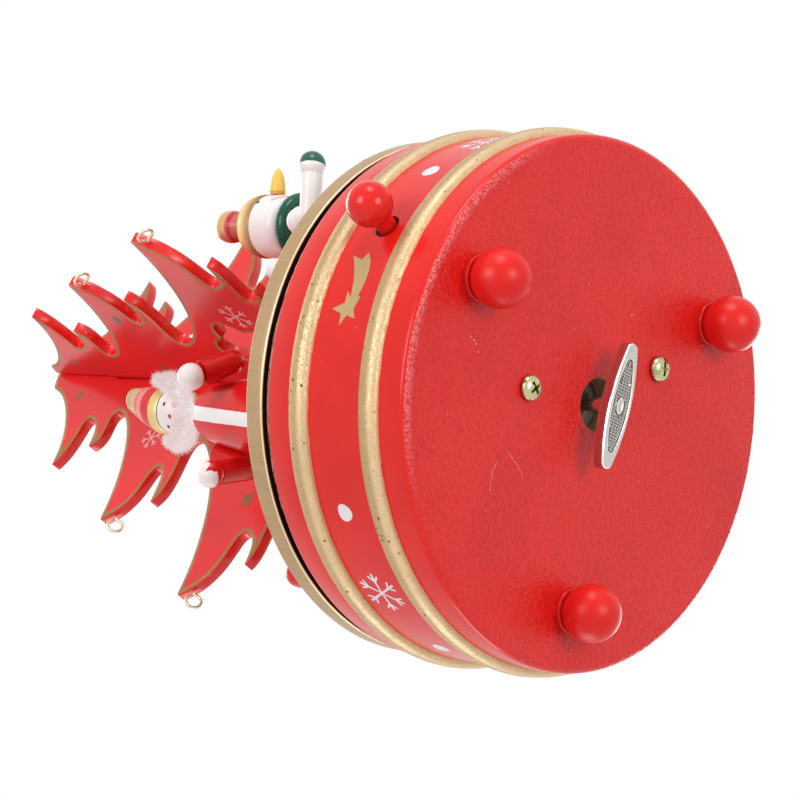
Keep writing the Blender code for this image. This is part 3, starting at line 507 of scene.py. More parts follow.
def rod(path, radii, sides, closed=False):
    """Round bar along a path, with one radius or one for each point."""
    path = [Vector(p) for p in path]
    count = len(path)
    if not isinstance(radii, (list, tuple)):
        radii = [radii] * count
    bm = bmesh.new()
    rings, across = [], None
    for i, point in enumerate(path):
        before = path[i - 1] if (i or closed) else point
        after = path[(i + 1) % count] if (i < count - 1 or closed) else point
        along = (after - before).normalized()
        across = across or along.orthogonal().normalized()
        across = (across - along * across.dot(along)).normalized()
        other = along.cross(across)
        rings.append([bm.verts.new(point + radii[i] * (x * across + y * other))
                      for x, y in ellipse(sides, 1.0, 1.0)])
    skin(bm, rings, closed)
    return bm


def to_object(bm, name):
    mesh = bpy.data.meshes.new(name)
    bm.to_mesh(mesh)
    bm.free()
    obj = bpy.data.objects.new(name, mesh)
    bpy.context.scene.collection.objects.link(obj)
    return obj


def piece(name, bm, finishes, slot, body="turntable", stands_for=(), where=None, crease=38.0):
    """Finish a bmesh as a piece: keep its own coordinates in mm, put it in place and let it ride."""
    layer = bm.verts.layers.float_vector.new("local")
    for vert in bm.verts:
        vert[layer] = vert.co if where is not None else vert.co / MM
    if where is not None:
        bmesh.ops.transform(bm, matrix=where @ Matrix.Scale(MM, 4), verts=bm.verts)
    bmesh.ops.recalc_face_normals(bm, faces=bm.faces)
    for face in bm.faces:
        face.smooth = True
    for edge in bm.edges:
        edge.smooth = (len(edge.link_faces) == 2
                       and edge.calc_face_angle() < math.radians(crease))
    obj = to_object(bm, name)
    for mat in finishes if isinstance(finishes, (list, tuple)) else (finishes,):
        obj.data.materials.append(mat)
    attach(obj, body)
    if stands_for:
        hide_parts(*((stands_for,) if isinstance(stands_for, str) else stands_for))
    return obj


def refinish(node, mat):
    """Give a solid that is shown as it is another material."""
    mesh = NODES[node].data
    mesh.materials.clear()
    mesh.materials.append(mat)


def carved(bm, tools):
    """The bmesh with other solids cut out of it; the tools' faces get the second material."""
    obj = to_object(bm, "blank")
    helpers = []
    for k, tool in enumerate(tools):
        bmesh.ops.recalc_face_normals(tool, faces=tool.faces)
        helper = to_object(tool, f"tool_{k}")
        for polygon in helper.data.polygons:
            polygon.material_index = 1
        cut = obj.modifiers.new("cut", "BOOLEAN")
        cut.object, cut.operation, cut.solver = helper, "DIFFERENCE", "EXACT"
        helpers.append(helper)
    for k in range(2):
        mat = bpy.data.materials.get(f"index_{k}") or bpy.data.materials.new(f"index_{k}")
        for one in (obj, *helpers):
            one.data.materials.append(mat)
    graph = bpy.context.evaluated_depsgraph_get()
    result = bmesh.new()
    result.from_mesh(obj.evaluated_get(graph).to_mesh())
    for one in (obj, *helpers):
        bpy.data.objects.remove(one, do_unlink=True)
    return result


def inside(loop, points):
    """Which points lie inside a closed loop."""
    x, y = points[:, 0:1], points[:, 1:2]
    ax, ay = loop[:, 0], loop[:, 1]
    bx, by = np.roll(ax, -1), np.roll(ay, -1)
    crosses = (ay > y) != (by > y)
    at = ax + (y - ay) * (bx - ax) / np.where(by == ay, 1e-12, by - ay)
    return (np.sum(crosses & (x < at), axis=1) % 2) == 1


def distance_to(line, points):
    """Shortest distance from each point to the segments of a line."""
    a, b = line[:, 0], line[:, 1]
    run = b - a
    square = np.maximum((run ** 2).sum(axis=1), 1e-12)
    best = np.full(len(points), 1e9)
    for k in range(len(a)):
        t = np.clip(((points - a[k]) @ run[k]) / square[k], 0.0, 1.0)
        gap = points - (a[k] + t[:, None] * run[k])
        best = np.minimum(best, np.hypot(gap[:, 0], gap[:, 1]))
    return best


def filled(loop, spacing):
    """Fill a closed loop with triangles over a grid: points, with the loop's first, and faces."""
    loop = np.asarray(loop, dtype=float)
    low, high = loop.min(axis=0), loop.max(axis=0)
    xs = np.arange(low[0] + spacing * 0.6, high[0], spacing)
    ys = np.arange(low[1] + spacing * 0.6, high[1], spacing)
    grid = np.array([(x + (0.5 * spacing if k % 2 else 0.0), y) for k, y in enumerate(ys)
                     for x in xs])
    if len(grid):
        grid = grid[inside(loop, grid)]
    if len(grid):
        closed = np.stack((loop, np.roll(loop, -1, axis=0)), axis=1)
        grid = grid[distance_to(closed, grid) > 0.45 * spacing]
    points = np.vstack((loop, grid)) if len(grid) else loop
    made = delaunay_2d_cdt([Vector(p) for p in points], [], [list(range(len(loop)))], 1, 1e-5)
    verts, faces, origins = made[0], made[2], made[3]
    order = {}
    for k, sources in enumerate(origins):
        for source in sources:
            order[source] = k
    return np.array([tuple(v) for v in verts]), [tuple(f) for f in faces], order

# Painted ornaments, as closed outlines in mm

def star(outer, inner, turn):
    return [[polar(inner if k % 2 else outer, math.radians(turn) + math.pi * k / 5)
             for k in range(10)]]


def disc(radius, turn=0.0, count=28):
    """Dot that isn't quite round."""
    return [[polar(radius * (1 + 0.05 * math.sin(3 * math.tau * k / count + turn)),
                   math.tau * k / count) for k in range(count)]]


def oval(half_width, half_height, turn=0.0):
    return [turned(ellipse(24, half_width, half_height), turn)]


def stroke(start, end, width):
    """A brush stroke with round, slightly fuller ends."""
    a, b = Vector(start), Vector(end)
    along = (b - a).normalized()
    side = Vector((-along.y, along.x)) * width * 0.5
    cap = along * width * 0.45
    count = max(1, math.ceil((b - a).length / 0.8))
    steps = [(a.lerp(b, i / count), side * (0.8 + 0.3 * i / count)) for i in range(count + 1)]
    loop = [a - cap] + [p - half for p, half in steps]
    loop += [b + cap - side * 0.3, b + cap + side * 0.3] + [p + half for p, half in steps[::-1]]
    return [tuple(p) for p in loop]


def snowflake(radius, width, turn):
    """Six thin arms, each with a fork of two short strokes near its end."""
    strokes = []
    for k in range(6):
        a = math.radians(turn + 60 * k)
        out = Vector(polar(1.0, a))
        fork = out * radius * 0.60
        strokes.append(stroke(out * radius * 0.04, out * radius, width))
        for side in (-1, 1):
            tip = fork + Vector(polar(1.0, a + side * math.radians(40))) * radius * 0.36
            strokes.append(stroke(fork, tip, width * 0.9))
    return strokes


def ornament(bm, outlines, onto, spacing, lift):
    """Fill outlines and lay them on a surface; onto maps plane points to space."""
    for k, outline in enumerate(outlines):
        points, faces, _ = filled(outline, spacing)
        verts = [bm.verts.new(onto(x, y, lift + 0.0015 * MM * k)) for x, y in points]
        for face in faces:
            bm.faces.new([verts[i] for i in face])


# The music box's pieces

def settings(context):
    return context.scene.music_box_colours, context.scene.music_box_sizes


def shift(x, y, z=0.0):
    return Matrix.Translation((x, y, z))


def upright(degrees):
    return Matrix.Rotation(math.radians(degrees), 4, "Z")


def drum_profile(sizes):
    """Outline of the turned drum: flat underside, rounded edge, two beads, rebate and bore."""
    low, radius, edge = DRUM_LOW, sizes.drum_radius, sizes.drum_edge
    line = [(8.0 * k * MM, low) for k in range(7)]
    line += [(radius - edge + edge * math.sin(a), low + edge - edge * math.cos(a))
             for a in (math.radians(9 * k) for k in range(11))]
    for middle in BEADS:
        foot = sizes.bead_half + 0.12 * MM
        line.append((radius, low + middle - foot))
        for k in range(15):
            a = math.pi * k / 14
            out = sizes.bead_out * math.sin(a) ** 0.9 if 0 < k < 14 else 0.0
            line.append((radius + out, low + middle - sizes.bead_half * math.cos(a)))
        line.append((radius, low + middle + foot))
    line += [(radius, DRUM_TOP - 0.5 * MM), (radius - 0.15 * MM, DRUM_TOP - 0.15 * MM),
             (radius - 0.5 * MM, DRUM_TOP), (sizes.seat_radius, DRUM_TOP),
             (sizes.seat_radius, low + LID_SEAT_UP), (sizes.bore_radius, low + LID_SEAT_UP),
             (sizes.bore_radius, low + DRUM_FLOOR), (0.0, low + DRUM_FLOOR)]
    return line


def stop_point(distance):
    """Point of the stop rod's axis, at a distance from the drum's."""
    return (*polar(distance, math.radians(STOP_ANGLE)), DRUM_LOW + STOP_UP)


class MUSICBOX_OT_drum(Operator):
    """Turned drum with gold beads, a key hole, screw holes and the stop rod's hole"""
    bl_idname = "music_box.drum"
    bl_label = "Drum"

    def side(self, r, colours, sizes):
        """Red gloss and gold beads with painted shade on their upper flank, and a little gold
        spatter.
        """
        red = lacquered(r, colours.lacquer, colours.lacquer_shade, 0.22, 0.000006, 0.25, 700.0)
        bead = gilded(r, colours.gold, 0.90, 3600.0, 0.00005, 1.0)
        where = r.where()
        height = r.axes(where)[2]
        mask, shaded_flank = 0.0, 0.0
        reach = sizes.bead_half + 0.1 * MM
        for middle in BEADS:
            z = DRUM_LOW + middle
            rise = r.calc("SUBTRACT", height, z)
            wear_and_shade = r.times(r.ramp(rise, -0.55 * reach, -0.08 * reach),
                           r.calc("LESS_THAN", r.calc("ABSOLUTE", rise), reach))
            shaded_flank = r.calc("MAXIMUM", shaded_flank, wear_and_shade)
            mask = r.calc("MAXIMUM", mask, striped(r, height, z - reach, z + reach, 0.00032,
                                                   0.00005))
        spatter = r.times(r.dots(where, 380.0, 0.97, 0.10, 0.05, 1), 0.6)
        mask = r.calc("MAXIMUM", mask, spatter)
        # Painted shade: the gold is multiplied darker over the beads' upper flanks.
        shaded_gold = r.mix(r.times(shaded_flank, 0.62), bead["Colour"], (0.56, 0.46, 0.32), "MULTIPLY")
        normal = r.add("ShaderNodeMix", {0: mask, 4: red["Normal"], 5: bead["Normal"]},
                       data_type="VECTOR").outputs[1]
        return {"Base Color": r.mix(mask, red["Colour"], shaded_gold), "Normal": normal,
                "Roughness": r.blend(mask, red["Roughness"], bead["Roughness"]),
                "Metallic": r.times(mask, 0.7), "Specular IOR Level": 0.3}

    def under(self, r, colours, sizes):
        """Leathery lacquer with painted shade and glints in its peel, and a painted speckled gleam
        along the rim on the side of the stop rod.
        """
        red = lacquered(r, colours.lacquer, colours.lacquer_shade, 0.25, 0.00024, 0.5, 1150.0, 0.5)
        where = r.where()
        x, y, _ = r.axes(where)
        radius = r.add("ShaderNodeVectorMath", {0: r.stretch(where, (1.0, 1.0, 0.0))},
                       operation="LENGTH").outputs[1]
        rim = r.ramp(radius, sizes.drum_radius - 2.6 * MM, sizes.drum_radius - 1.4 * MM)
        rim = r.times(rim, r.ramp(y, -0.012, -0.030), r.ramp(x, -0.024, 0.004))
        speckle = r.ramp(r.noise(where, 2100.0, 3.0, 0.6), 0.44, 0.58)
        # Painted reflection: pink speckles are mixed into the colour along part of the rim.
        gleam = r.times(rim, speckle, 0.42)
        return coat(red, r.mix(gleam, red["Colour"], (0.90, 0.36, 0.38)), Specular_IOR_Level=0.35)

    def execute(self, context):
        colours, sizes = settings(context)
        holes = [(KEY_HOLE, KEY_HOLE_R, 64)] + [(at, SCREW_HOLE_R, 24) for at in SCREW_HOLES]
        tools = [rod([(*at, DRUM_LOW - MM), (*at, DRUM_LOW + 8 * MM)], radius, sides)
                 for at, radius, sides in holes]
        tools.append(rod([stop_point(43.5 * MM), stop_point(60 * MM)], STOP_HOLE_R, 36))
        bm = carved(revolve(drum_profile(sizes), 256), tools)
        for face in bm.faces:
            middle = face.calc_center_median()
            within = middle.xy.length < sizes.seat_radius and middle.z > DRUM_LOW + MM
            if face.material_index == 1 or within:
                face.material_index = 2
            elif middle.z < DRUM_LOW + 0.4 * MM:
                face.material_index = 1
        side = finish("drum_side", self.side, colours, sizes)
        under = finish("drum_underside", self.under, colours, sizes)
        bare = lacquer("bare_turned_wood", shaded(colours.board, 0.55), None, 0.7, 0.00003, 0.1,
                       1400.0)
        piece("turned_drum", bm, (side, under, bare), "red_lacquer", "case", "drum")
        refinish("drum_lid", bare)
        return {"FINISHED"}


def on_drum(angle, height, radius):
    """Map a plane to the drum's side: x round it and y up, about a point at an angle."""
    def place(x, y, lift):
        a = math.radians(angle) + x * MM / radius
        return ((radius + lift) * math.cos(a), (radius + lift) * math.sin(a),
                DRUM_LOW + (height + y) * MM)
    return place

def under_drum(x, y):
    """Map a plane to the drum's underside, about a point in mm."""
    return lambda u, v, lift: ((x + u) * MM, (y + v) * MM, DRUM_LOW - lift)


def comet():
    """Five-pointed star with a ribbon tail that splits in two, about the star's middle."""
    rays = [(0.0, 4.0), (1.3, 1.05), (3.7, 1.2), (2.45, -0.1)]
    tail = [(6.1, 0.65), (9.2, 2.0), (11.5, 3.4), (10.6, 0.7), (12.3, -0.3), (10.3, -1.9),
            (8.2, -2.5), (6.1, -2.6), (4.4, -2.4), (2.9, -2.0)]
    feet = [(2.4, -2.75), (0.2, -1.8), (-1.9, -2.7), (-1.3, -0.35), (-3.4, 1.05), (-0.95, 1.3)]
    return [rays + tail + feet]


class MUSICBOX_OT_drum_ornaments(Operator):
    """Painted snowflakes, dots and comets round the drum, and fine scratches under it"""
    bl_idname = "music_box.drum_ornaments"
    bl_label = "Drum Ornaments"

    def execute(self, context):
        colours, sizes = settings(context)
        white, gilt, scratches = bmesh.new(), bmesh.new(), bmesh.new()
        radius, lift = sizes.drum_radius, sizes.paint
        dots = ((-115.3, 19.4), (-34.5, 18.2), (-157.4, 18.7), (35.0, 18.9), (92.0, 18.4),
                (142.0, 19.2))
        flakes = ((-135.8, 19.3), (-18.4, 16.6), (12.0, 19.0), (116.0, 18.2), (158.0, 19.0))
        comets = ((-72.57, 18.76), (62.0, 19.0), (-182.0, 19.2))
        for turn, at in enumerate(dots):
            ornament(white, disc(1.85, turn), on_drum(*at, radius), 1.0, lift)
        for turn, at in enumerate(flakes):
            ornament(white, snowflake(5.0, 0.56, 11.0 * turn), on_drum(*at, radius), 1.0, lift)
        for at in comets:
            ornament(gilt, comet(), on_drum(*at, radius), 1.0, lift)
        long = ((-9.95, -24.3), (-11.3, -22.8), (-12.6, -21.3), (-13.8, -20.3), (-14.9, -19.6))
        short = ((-11.95, -27.3), (-13.5, -28.4), (-15.4, -28.8), (-17.6, -28.95))
        for start, end in (*zip(long, long[1:]), *zip(short, short[1:])):
            ornament(scratches, [stroke(start, end, 0.13)], under_drum(0, 0), 1.0, 0.5 * lift)
        for x, y in ((11.3, -35.5), (10.6, -34.9), (11.9, -36.4), (9.1, -34.2), (18.5, 11.1)):
            ornament(scratches, disc(0.19, x, 9), under_drum(x, y), 1.0, 0.5 * lift)
        piece("fine_scratches", scratches,
              lacquer("scratched_lacquer", (0.86, 0.32, 0.27), None, 0.4, 0.000004, 0.0),
              "red_lacquer", "case")
        piece("drum_snow", white, lacquer("ornament_white", colours.white, (0.78, 0.66, 0.70),
                                          0.42, 0.00002, 0.1, 1600.0), "white_paint", "case")
        piece("drum_comets", gilt, gold("ornament_gold", (0.56, 0.38, 0.17), 0.45, 0.85),
              "gold_paint", "case")
        return {"FINISHED"}


class MUSICBOX_OT_feet_and_knob(Operator):
    """Ball feet, and the stop rod's ball knob and dowel"""
    bl_idname = "music_box.feet_and_knob"
    bl_label = "Feet and Knob"

    def execute(self, context):
        colours, _ = settings(context)
        gloss, feet = (lacquer(name, colours.lacquer, colours.lacquer_shade, rough, peel, 0.4, 500.0)
                       for name, rough, peel in (("ball_lacquer", 0.17, 0.000014),
                                                 ("foot_lacquer", 0.34, 0.00002)))
        for name in FEET:
            low, high = (Vector(corner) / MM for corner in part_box(name))
            middle, radius = (low + high) / 2, (high.x - low.x) / 2
            line = arc(radius, radius, -90, 52, 40)
            line += [(3.9, high.z - 0.9), (3.9, high.z), (0.0, high.z)]
            piece(f"ball_{name}", revolve(line, 64), feet, "red_lacquer", "case", name,
                  shift(middle.x * MM, middle.y * MM))
            seat = [((middle.x + x) * MM, (middle.y + y) * MM, DRUM_LOW - 0.12 * MM)
                    for x, y in ellipse(56, FOOT_RING_R, FOOT_RING_R)]
            piece(f"paint_ring_{name}", rod(seat, FOOT_RING_THICK, 14, closed=True),
                  gloss, "red_lacquer", "case")
        piece("ball_knob", revolve(arc(KNOB_R, 0.0, -90, 90, 40), 64), gloss, "red_lacquer",
              "stop_rod", "stop_knob", shift(*stop_point(KNOB_OUT)))
        path = [stop_point(r * MM) for r in (46.4, 46.8, 50.0, 53.0, 56.3)]
        piece("turned_dowel", rod(path, [1.7 * MM] + [2 * MM] * 4, 36), gloss, "red_lacquer",
              "stop_rod", "stop_dowel")
        return {"FINISHED"}


def pointed_oval(half_length, half_width, blunt, steps=26):
    """Outline of the key's bar, blunt at its tips."""
    right = [(u * (half_length - blunt * 0.4), -(blunt + (half_width - blunt) * (1 - u * u)))
             for u in (-1 + 2 * i / steps for i in range(steps + 1))]
    half = right + [(half_length, -blunt * 0.45), (half_length, blunt * 0.45)]
    return half + [(-x, -y) for x, y in half]


def inset(loop, amount):
    """Offset a convex loop inwards."""
    points = np.asarray(loop)
    along = np.roll(points, -1, axis=0) - np.roll(points, 1, axis=0)
    normal = np.stack((-along[:, 1], along[:, 0]), axis=1)
    return points + amount * normal / np.linalg.norm(normal, axis=1)[:, None]


class MUSICBOX_OT_winding_key(Operator):
    """Flat winding key with a rolled rim, a raised border and a panel of zigzag ridges"""
    bl_idname = "music_box.winding_key"
    bl_label = "Winding Key"

    def polish(self, r, colours):
        """Polished metal with painted shade in the hollows of the panel and painted highlights on
        its raised edges.
        """
        shine = handled(r, colours.chrome, (0.40, 0.37, 0.34), 0.14, 0.4)
        sunk = r.known("sunk")
        # Painted shade: dark colour where the panel lies deepest.
        tone = r.mix(r.ramp(sunk, 0.10, 0.34), shine["Colour"], (0.22, 0.205, 0.185))
        # Painted highlight: near-white colour on the raised edges of the panel.
        tone = r.mix(r.ramp(sunk, 0.03, 0.0), tone, (0.93, 0.91, 0.89))
        tone = r.mix(r.calc("LESS_THAN", sunk, -0.5), tone, shine["Colour"])
        return coat(shine, tone, Metallic=1.0)

    def level(self, bm, points, z, depth):
        """Vertices at one height that know how deep they lie in the panel, or -1 outside it."""
        verts = level(bm, points, z)
        for vert in verts:
            vert[bm.verts.layers.float["sunk"]] = depth
        return verts

    def execute(self, context):
        colours, _ = settings(context)
        face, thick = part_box("winding_key")[0][2] / MM, KEY_THICK
        outer, panel = pointed_oval(12.95, 3.3, 1.35), pointed_oval(9.9, 2.55, 0.95)
        bm = bmesh.new()
        bm.verts.layers.float.new("sunk")
        steps = ((outer, 0.30, thick, -1.0), (outer, 0.09, thick - 0.09, -1.0),
                 (outer, 0.0, thick - 0.3, -1.0), (outer, 0.0, 0.34, -1.0),
                 (outer, 0.01, 0.26, 0.0), (outer, 0.09, 0.09, 0.0), (outer, 0.22, 0.0, 0.0),
                 (outer, 0.30, 0.02, 0.06), (panel, -0.12, 0.03, 0.06), (panel, 0.0, 0.12, 0.16),
                 (panel, 0.05, 0.03, 0.0), (panel, 0.20, 0.03, 0.0), (panel, 0.28, 0.30, 0.34))
        skin(bm, [self.level(bm, inset(loop, amount), face + z, depth)
                  for loop, amount, z, depth in steps])
        self.zigzags(bm, inset(panel, 0.30), face + 0.30)
        arbor = ((1.75, face + thick - 0.1), (1.75, 10.6), (1.3, 11.0), (1.3, 29.5))
        skin(bm, [self.level(bm, ellipse(40, r, r), z, -1.0) for r, z in arbor])
        piece("pressed_key", bm, finish("key_polish", self.polish, colours), "key_chrome", "key",
              "winding_key", upright(KEY_ANGLE), 30.0)
        return {"FINISHED"}

    def zigzags(self, bm, edge, floor):
        """Rows of sharp zigzag ridges across the panel, and a plain oval in the middle."""
        closed = np.stack((edge, np.roll(edge, -1, axis=0)), axis=1)
        for x in np.arange(-11.4, 11.5, 0.62):
            steps = np.arange(-3.0, 3.01, 0.42)
            line = np.array([(x + (0.18 if k % 2 else -0.18), y) for k, y in enumerate(steps)])
            keep = inside(edge, line) & (distance_to(closed, line) > 0.16)
            keep &= (line[:, 0] / 2.1) ** 2 + (line[:, 1] / 1.25) ** 2 > 1.0
            for k in range(len(line) - 1):
                if keep[k] and keep[k + 1]:
                    self.ridge(bm, line[k], line[k + 1], floor)
        ovals = [self.level(bm, ellipse(40, rx, ry), floor + z, depth) for rx, ry, z, depth in (
            (1.75, 1.0, 0.01, 0.34), (1.68, 0.93, -0.2, 0.0), (1.5, 0.75, -0.24, 0.0),
            (1.35, 0.6, -0.14, 0.16))]
        skin(bm, ovals, caps=False)
        bm.faces.new(ovals[-1])

    def ridge(self, bm, start, end, floor):
        """Short bar of triangular section, sharp edge towards the viewer."""
        along = (end - start) / np.linalg.norm(end - start)
        side = 0.17 * np.array((-along[1], along[0]))
        ends = []
        for point in (start - along * 0.03, end + along * 0.03):
            ends.append(self.level(bm, (point + side, point - side), floor + 0.01, 0.34)
                        + self.level(bm, (point,), floor - 0.26, 0.0))
        skin(bm, ends)


class MUSICBOX_OT_screws(Operator):
    """Cross-recessed screws that hold the movement"""
    bl_idname = "music_box.screws"
    bl_label = "Screws"

    def execute(self, context):
        colours, _ = settings(context)
        zinc = metal("screw_zinc", colours.zinc, (0.20, 0.27, 0.17), 0.16, 1.0)
        reach, half, head = 1.75, 0.38, 1.7
        cross = [(-half, -reach), (half, -reach), (half, -half)]
        for _ in range(3):
            cross += turned(cross[-3:], 90.0)
        for number in (1, 2):
            name = f"movement_screw_{number}"
            low, high = (Vector(corner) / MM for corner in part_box(name))
            top = low.z + head
            line = [(0.0, top - head), (0.6, top - 1.69), (1.2, top - 1.62), (1.8, top - 1.42),
                    (2.2, top - 1.15), (2.5, top - 0.8), (2.65, top - 0.42), (2.65, top - 0.1),
                    (2.55, top), (1.3, top), (1.3, high.z), (0.0, high.z)]
            tool = bmesh.new()
            skin(tool, [level(tool, turned([(x * share, y * share) for x, y in cross],
                                           20 + 35 * number), z)
                        for share, z in ((1.0, top - 2.2), (0.55, top - 0.45))])
            middle = (low + high) / 2 * MM
            piece(f"cross_screw_{number}", carved(revolve(line, 56), [tool]), (zinc, zinc),
                  "yellow_zinc", "case", name, shift(middle.x, middle.y))
        return {"FINISHED"}


class MUSICBOX_OT_movement(Operator):
    """Brass, steel and nickel finishes for the clockwork inside the drum"""
    bl_idname = "music_box.movement"
    bl_label = "Movement"

    def execute(self, context):
        colours, _ = settings(context)
        brass = metal("movement_brass", colours.brass, (0.34, 0.22, 0.10), 0.22, 0.5)
        steel = metal("movement_steel", colours.steel, (0.34, 0.31, 0.28), 0.2, 0.4)
        nickel = metal("movement_nickel", colours.nickel, (0.30, 0.28, 0.25), 0.34, 0.6)
        blued = metal("blued_spring", (0.20, 0.22, 0.28), (0.10, 0.09, 0.10), 0.28, 0.4)
        for mat, names in (
                (brass, "spring_barrel contrate_wheel pinned_cylinder worm_wheel governor_fly"),
                (steel, "ratchet_wheel comb table_shaft cylinder_pinion stop_wire"),
                (nickel, "bedplate bracket_inner bracket_outer governor_bracket comb_block"),
                (blued, "mainspring")):
            for name in names.split():
                refinish(name, mat)
        return {"FINISHED"}


class MUSICBOX_OT_turntable(Operator):
    """Satin gold turntable with a rebate under its edge that shows the bare board"""
    bl_idname = "music_box.turntable"
    bl_label = "Turntable"

    def edge(self, r, colours):
        """Satin gold, with fine cuts across the edge and a bright line at its foot, partly rubbed
        gilt and partly painted highlight.
        """
        satin = gilded(r, colours.table_gold, 0.86, 3400.0, 0.00002)
        where = r.where()
        cuts = r.noise(r.stretch(where, (1.0, 1.0, 0.05)), 2300.0)
        tone = r.mix(r.ramp(cuts, 0.60, 0.72, 0.0, 0.35), satin["Colour"], (0.62, 0.46, 0.27))
        tone = r.mix(r.ramp(cuts, 0.40, 0.30, 0.0, 0.35), tone, (0.33, 0.21, 0.11))
        # The bright line at the foot is partly rubbed gilt and partly painted highlight.
        rub_and_highlight = striped(r, r.axes(where)[2], TABLE_LOW + 0.88 * MM, TABLE_LOW + 1.3 * MM, 0.00012,
                      0.00012)
        return coat(satin, r.mix(rub_and_highlight, tone, (0.93, 0.76, 0.46)), Metallic=0.45)

    def board(self, r):
        """Board darkened almost to black, partly its own dark wood and partly painted shade under
        the rim, with a ragged pale seam of glue and gold.
        """
        # Painted shade: the board's colour is taken nearly to black for the shadow under the rim.
        bare = lacquered(r, (0.022, 0.008, 0.004), (0.012, 0.005, 0.003), 0.8, 0.00004, 0.0,
                         1200.0)
        where = r.where()
        seam = striped(r, r.axes(where)[2], TABLE_LOW + 0.42 * MM, TABLE_LOW + 0.72 * MM, 0.0007,
                       0.00008)
        wear_and_shade = r.ramp(r.noise(where, 160.0, 3.0, 0.6), 0.42, 0.55)
        return coat(bare, r.mix(r.times(seam, wear_and_shade), bare["Colour"], (0.62, 0.42, 0.26)),
                    Specular_IOR_Level=0.05)

    def execute(self, context):
        colours, _ = settings(context)
        inner = (0.0, 12.0, 24.0, 36.0, 46.0)
        rim = ((1.5, 0.0), (1.35, 0.1), (1.3, 0.5), (1.3, 0.88), (0.3, 0.9), (0.1, 0.98),
               (0.0, 1.15), (0.0, 2.4), (0.0, 3.8))
        edge = 0.5 * MM
        line = [(r * MM, TABLE_LOW) for r in inner]
        line += [(TABLE_R - inward * MM, TABLE_LOW + up * MM) for inward, up in rim]
        line += [(TABLE_R - edge + x, TABLE_TOP - edge + y)
                 for x, y in (polar(edge, math.radians(15 * k)) for k in range(7))]
        line += [(r * MM, TABLE_TOP) for r in reversed(inner)]
        bm = revolve(line, 256)
        for face in bm.faces:
            face.material_index = int(face.calc_center_median().z < TABLE_REBATE)
        piece("gilt_turntable", bm, (finish("turntable_gold", self.edge, colours),
                                     finish("turntable_board", self.board)),
              "gold_paint", "turntable", "turntable")
        return {"FINISHED"}


def front_loop(node, angle):
    """Outline of a tree panel's flat face in its own plane, in mm, as one loop of points."""
    turn = Matrix.Rotation(-math.radians(angle), 4, "Z") @ Matrix.Translation(
        (-TREE_AT[0], -TREE_AT[1], 0.0))
    mesh = NODES[node].data
    flat = [turn @ v.co for v in mesh.vertices]
    keys = [(round(p.x / MM, 3), round(p.z / MM, 3)) for p in flat]
    front = [p.y > 0.4 * PANEL_T * MM for p in flat]
    sides = {}
    for polygon in mesh.polygons:
        ring = list(polygon.vertices)
        if all(front[v] for v in ring):
            for a, b in zip(ring, ring[1:] + ring[:1]):
                pair = frozenset((keys[a], keys[b]))
                sides[pair] = sides.get(pair, 0) + 1
    near = {}
    for pair in (p for p, uses in sides.items() if uses == 1 and len(p) == 2):
        a, b = pair
        near.setdefault(a, []).append(b)
        near.setdefault(b, []).append(a)
    start = max(near, key=lambda p: (p[1], p[0]))
    loop, before = [start], None
    while True:
        options = [p for p in near[loop[-1]] if p != before]
        before = loop[-1]
        if not options or options[0] == start:
            break
        loop.append(options[0])
    if len(loop) < 40:
        raise RuntimeError(f"{node}: its outline could not be followed")
    return np.array(loop)


def softened(loop, spacing=0.55, blur=0.75):
    """Curve through a loop's points that keeps its corners, resampled and slightly rounded."""
    count = len(loop)
    ahead = np.roll(loop, -1, axis=0) - loop
    unit = ahead / np.linalg.norm(ahead, axis=1)[:, None]
    bend = np.degrees(np.arccos(np.clip((unit * np.roll(unit, 1, axis=0)).sum(axis=1), -1, 1)))
    corner = bend > 32
    dense = []
    for k in range(count):
        a, b = loop[k], loop[(k + 1) % count]
        before = a if corner[k] else loop[k - 1]
        after = b if corner[(k + 1) % count] else loop[(k + 2) % count]
        steps = max(2, int(np.linalg.norm(b - a) / 0.25))
        dense += [between(before, a, b, after, i / steps) for i in range(steps)]
    ring = np.array([*dense, dense[0]])
    along = np.concatenate(([0.0], np.cumsum(np.linalg.norm(np.diff(ring, axis=0), axis=1))))
    samples = np.linspace(0, along[-1], int(along[-1] / spacing), endpoint=False)
    even = np.stack([np.interp(samples, along, ring[:, k]) for k in (0, 1)], axis=1)
    weights = {k: math.exp(-0.5 * (k * spacing / blur) ** 2) for k in range(-4, 5)}
    return sum(w * np.roll(even, k, axis=0) for k, w in weights.items()) / sum(weights.values())


def signed_area(loop):
    return 0.5 * float(np.sum(loop[:, 0] * np.roll(loop[:, 1], -1)
                              - np.roll(loop[:, 0], -1) * loop[:, 1]))


def cut_board(loop, half, edge):
    """Board with rounded edges; each point knows how far it is from the outer outline."""
    if signed_area(loop) < 0:
        loop = loop[::-1]
    points, faces, order = filled(inset(loop, edge), 1.15)
    outer = np.stack((loop, np.roll(loop, -1, axis=0)), axis=1)
    outer = outer[np.abs(outer[:, 0, 0]) > half + 0.75]
    away = distance_to(outer, points)
    bm = bmesh.new()
    from_edge = bm.verts.layers.float.new("from_edge")
    sheets = []
    for y in (-half, half):
        verts = [bm.verts.new((x, y, z)) for x, z in points]
        for vert, gap in zip(verts, away):
            vert[from_edge] = gap
        for corners in faces:
            bm.faces.new([verts[i] for i in corners])
        sheets.append([verts[order[k]] for k in range(len(loop))])
    steps = ((0.3 * edge, -half + 0.3 * edge), (0.0, -half + edge), (0.0, half - edge),
             (0.3 * edge, half - 0.3 * edge))
    rings = [[bm.verts.new((x, y, z)) for x, z in inset(loop, amount)] for amount, y in steps]
    skin(bm, [sheets[0], *rings, sheets[1]], caps=False)
    return bm


def on_panel(x, z, side, half):
    """Map a plane to a face of a tree panel, about a point on it."""
    return lambda u, v, lift: (x + u * side, side * (half + lift), z + v)


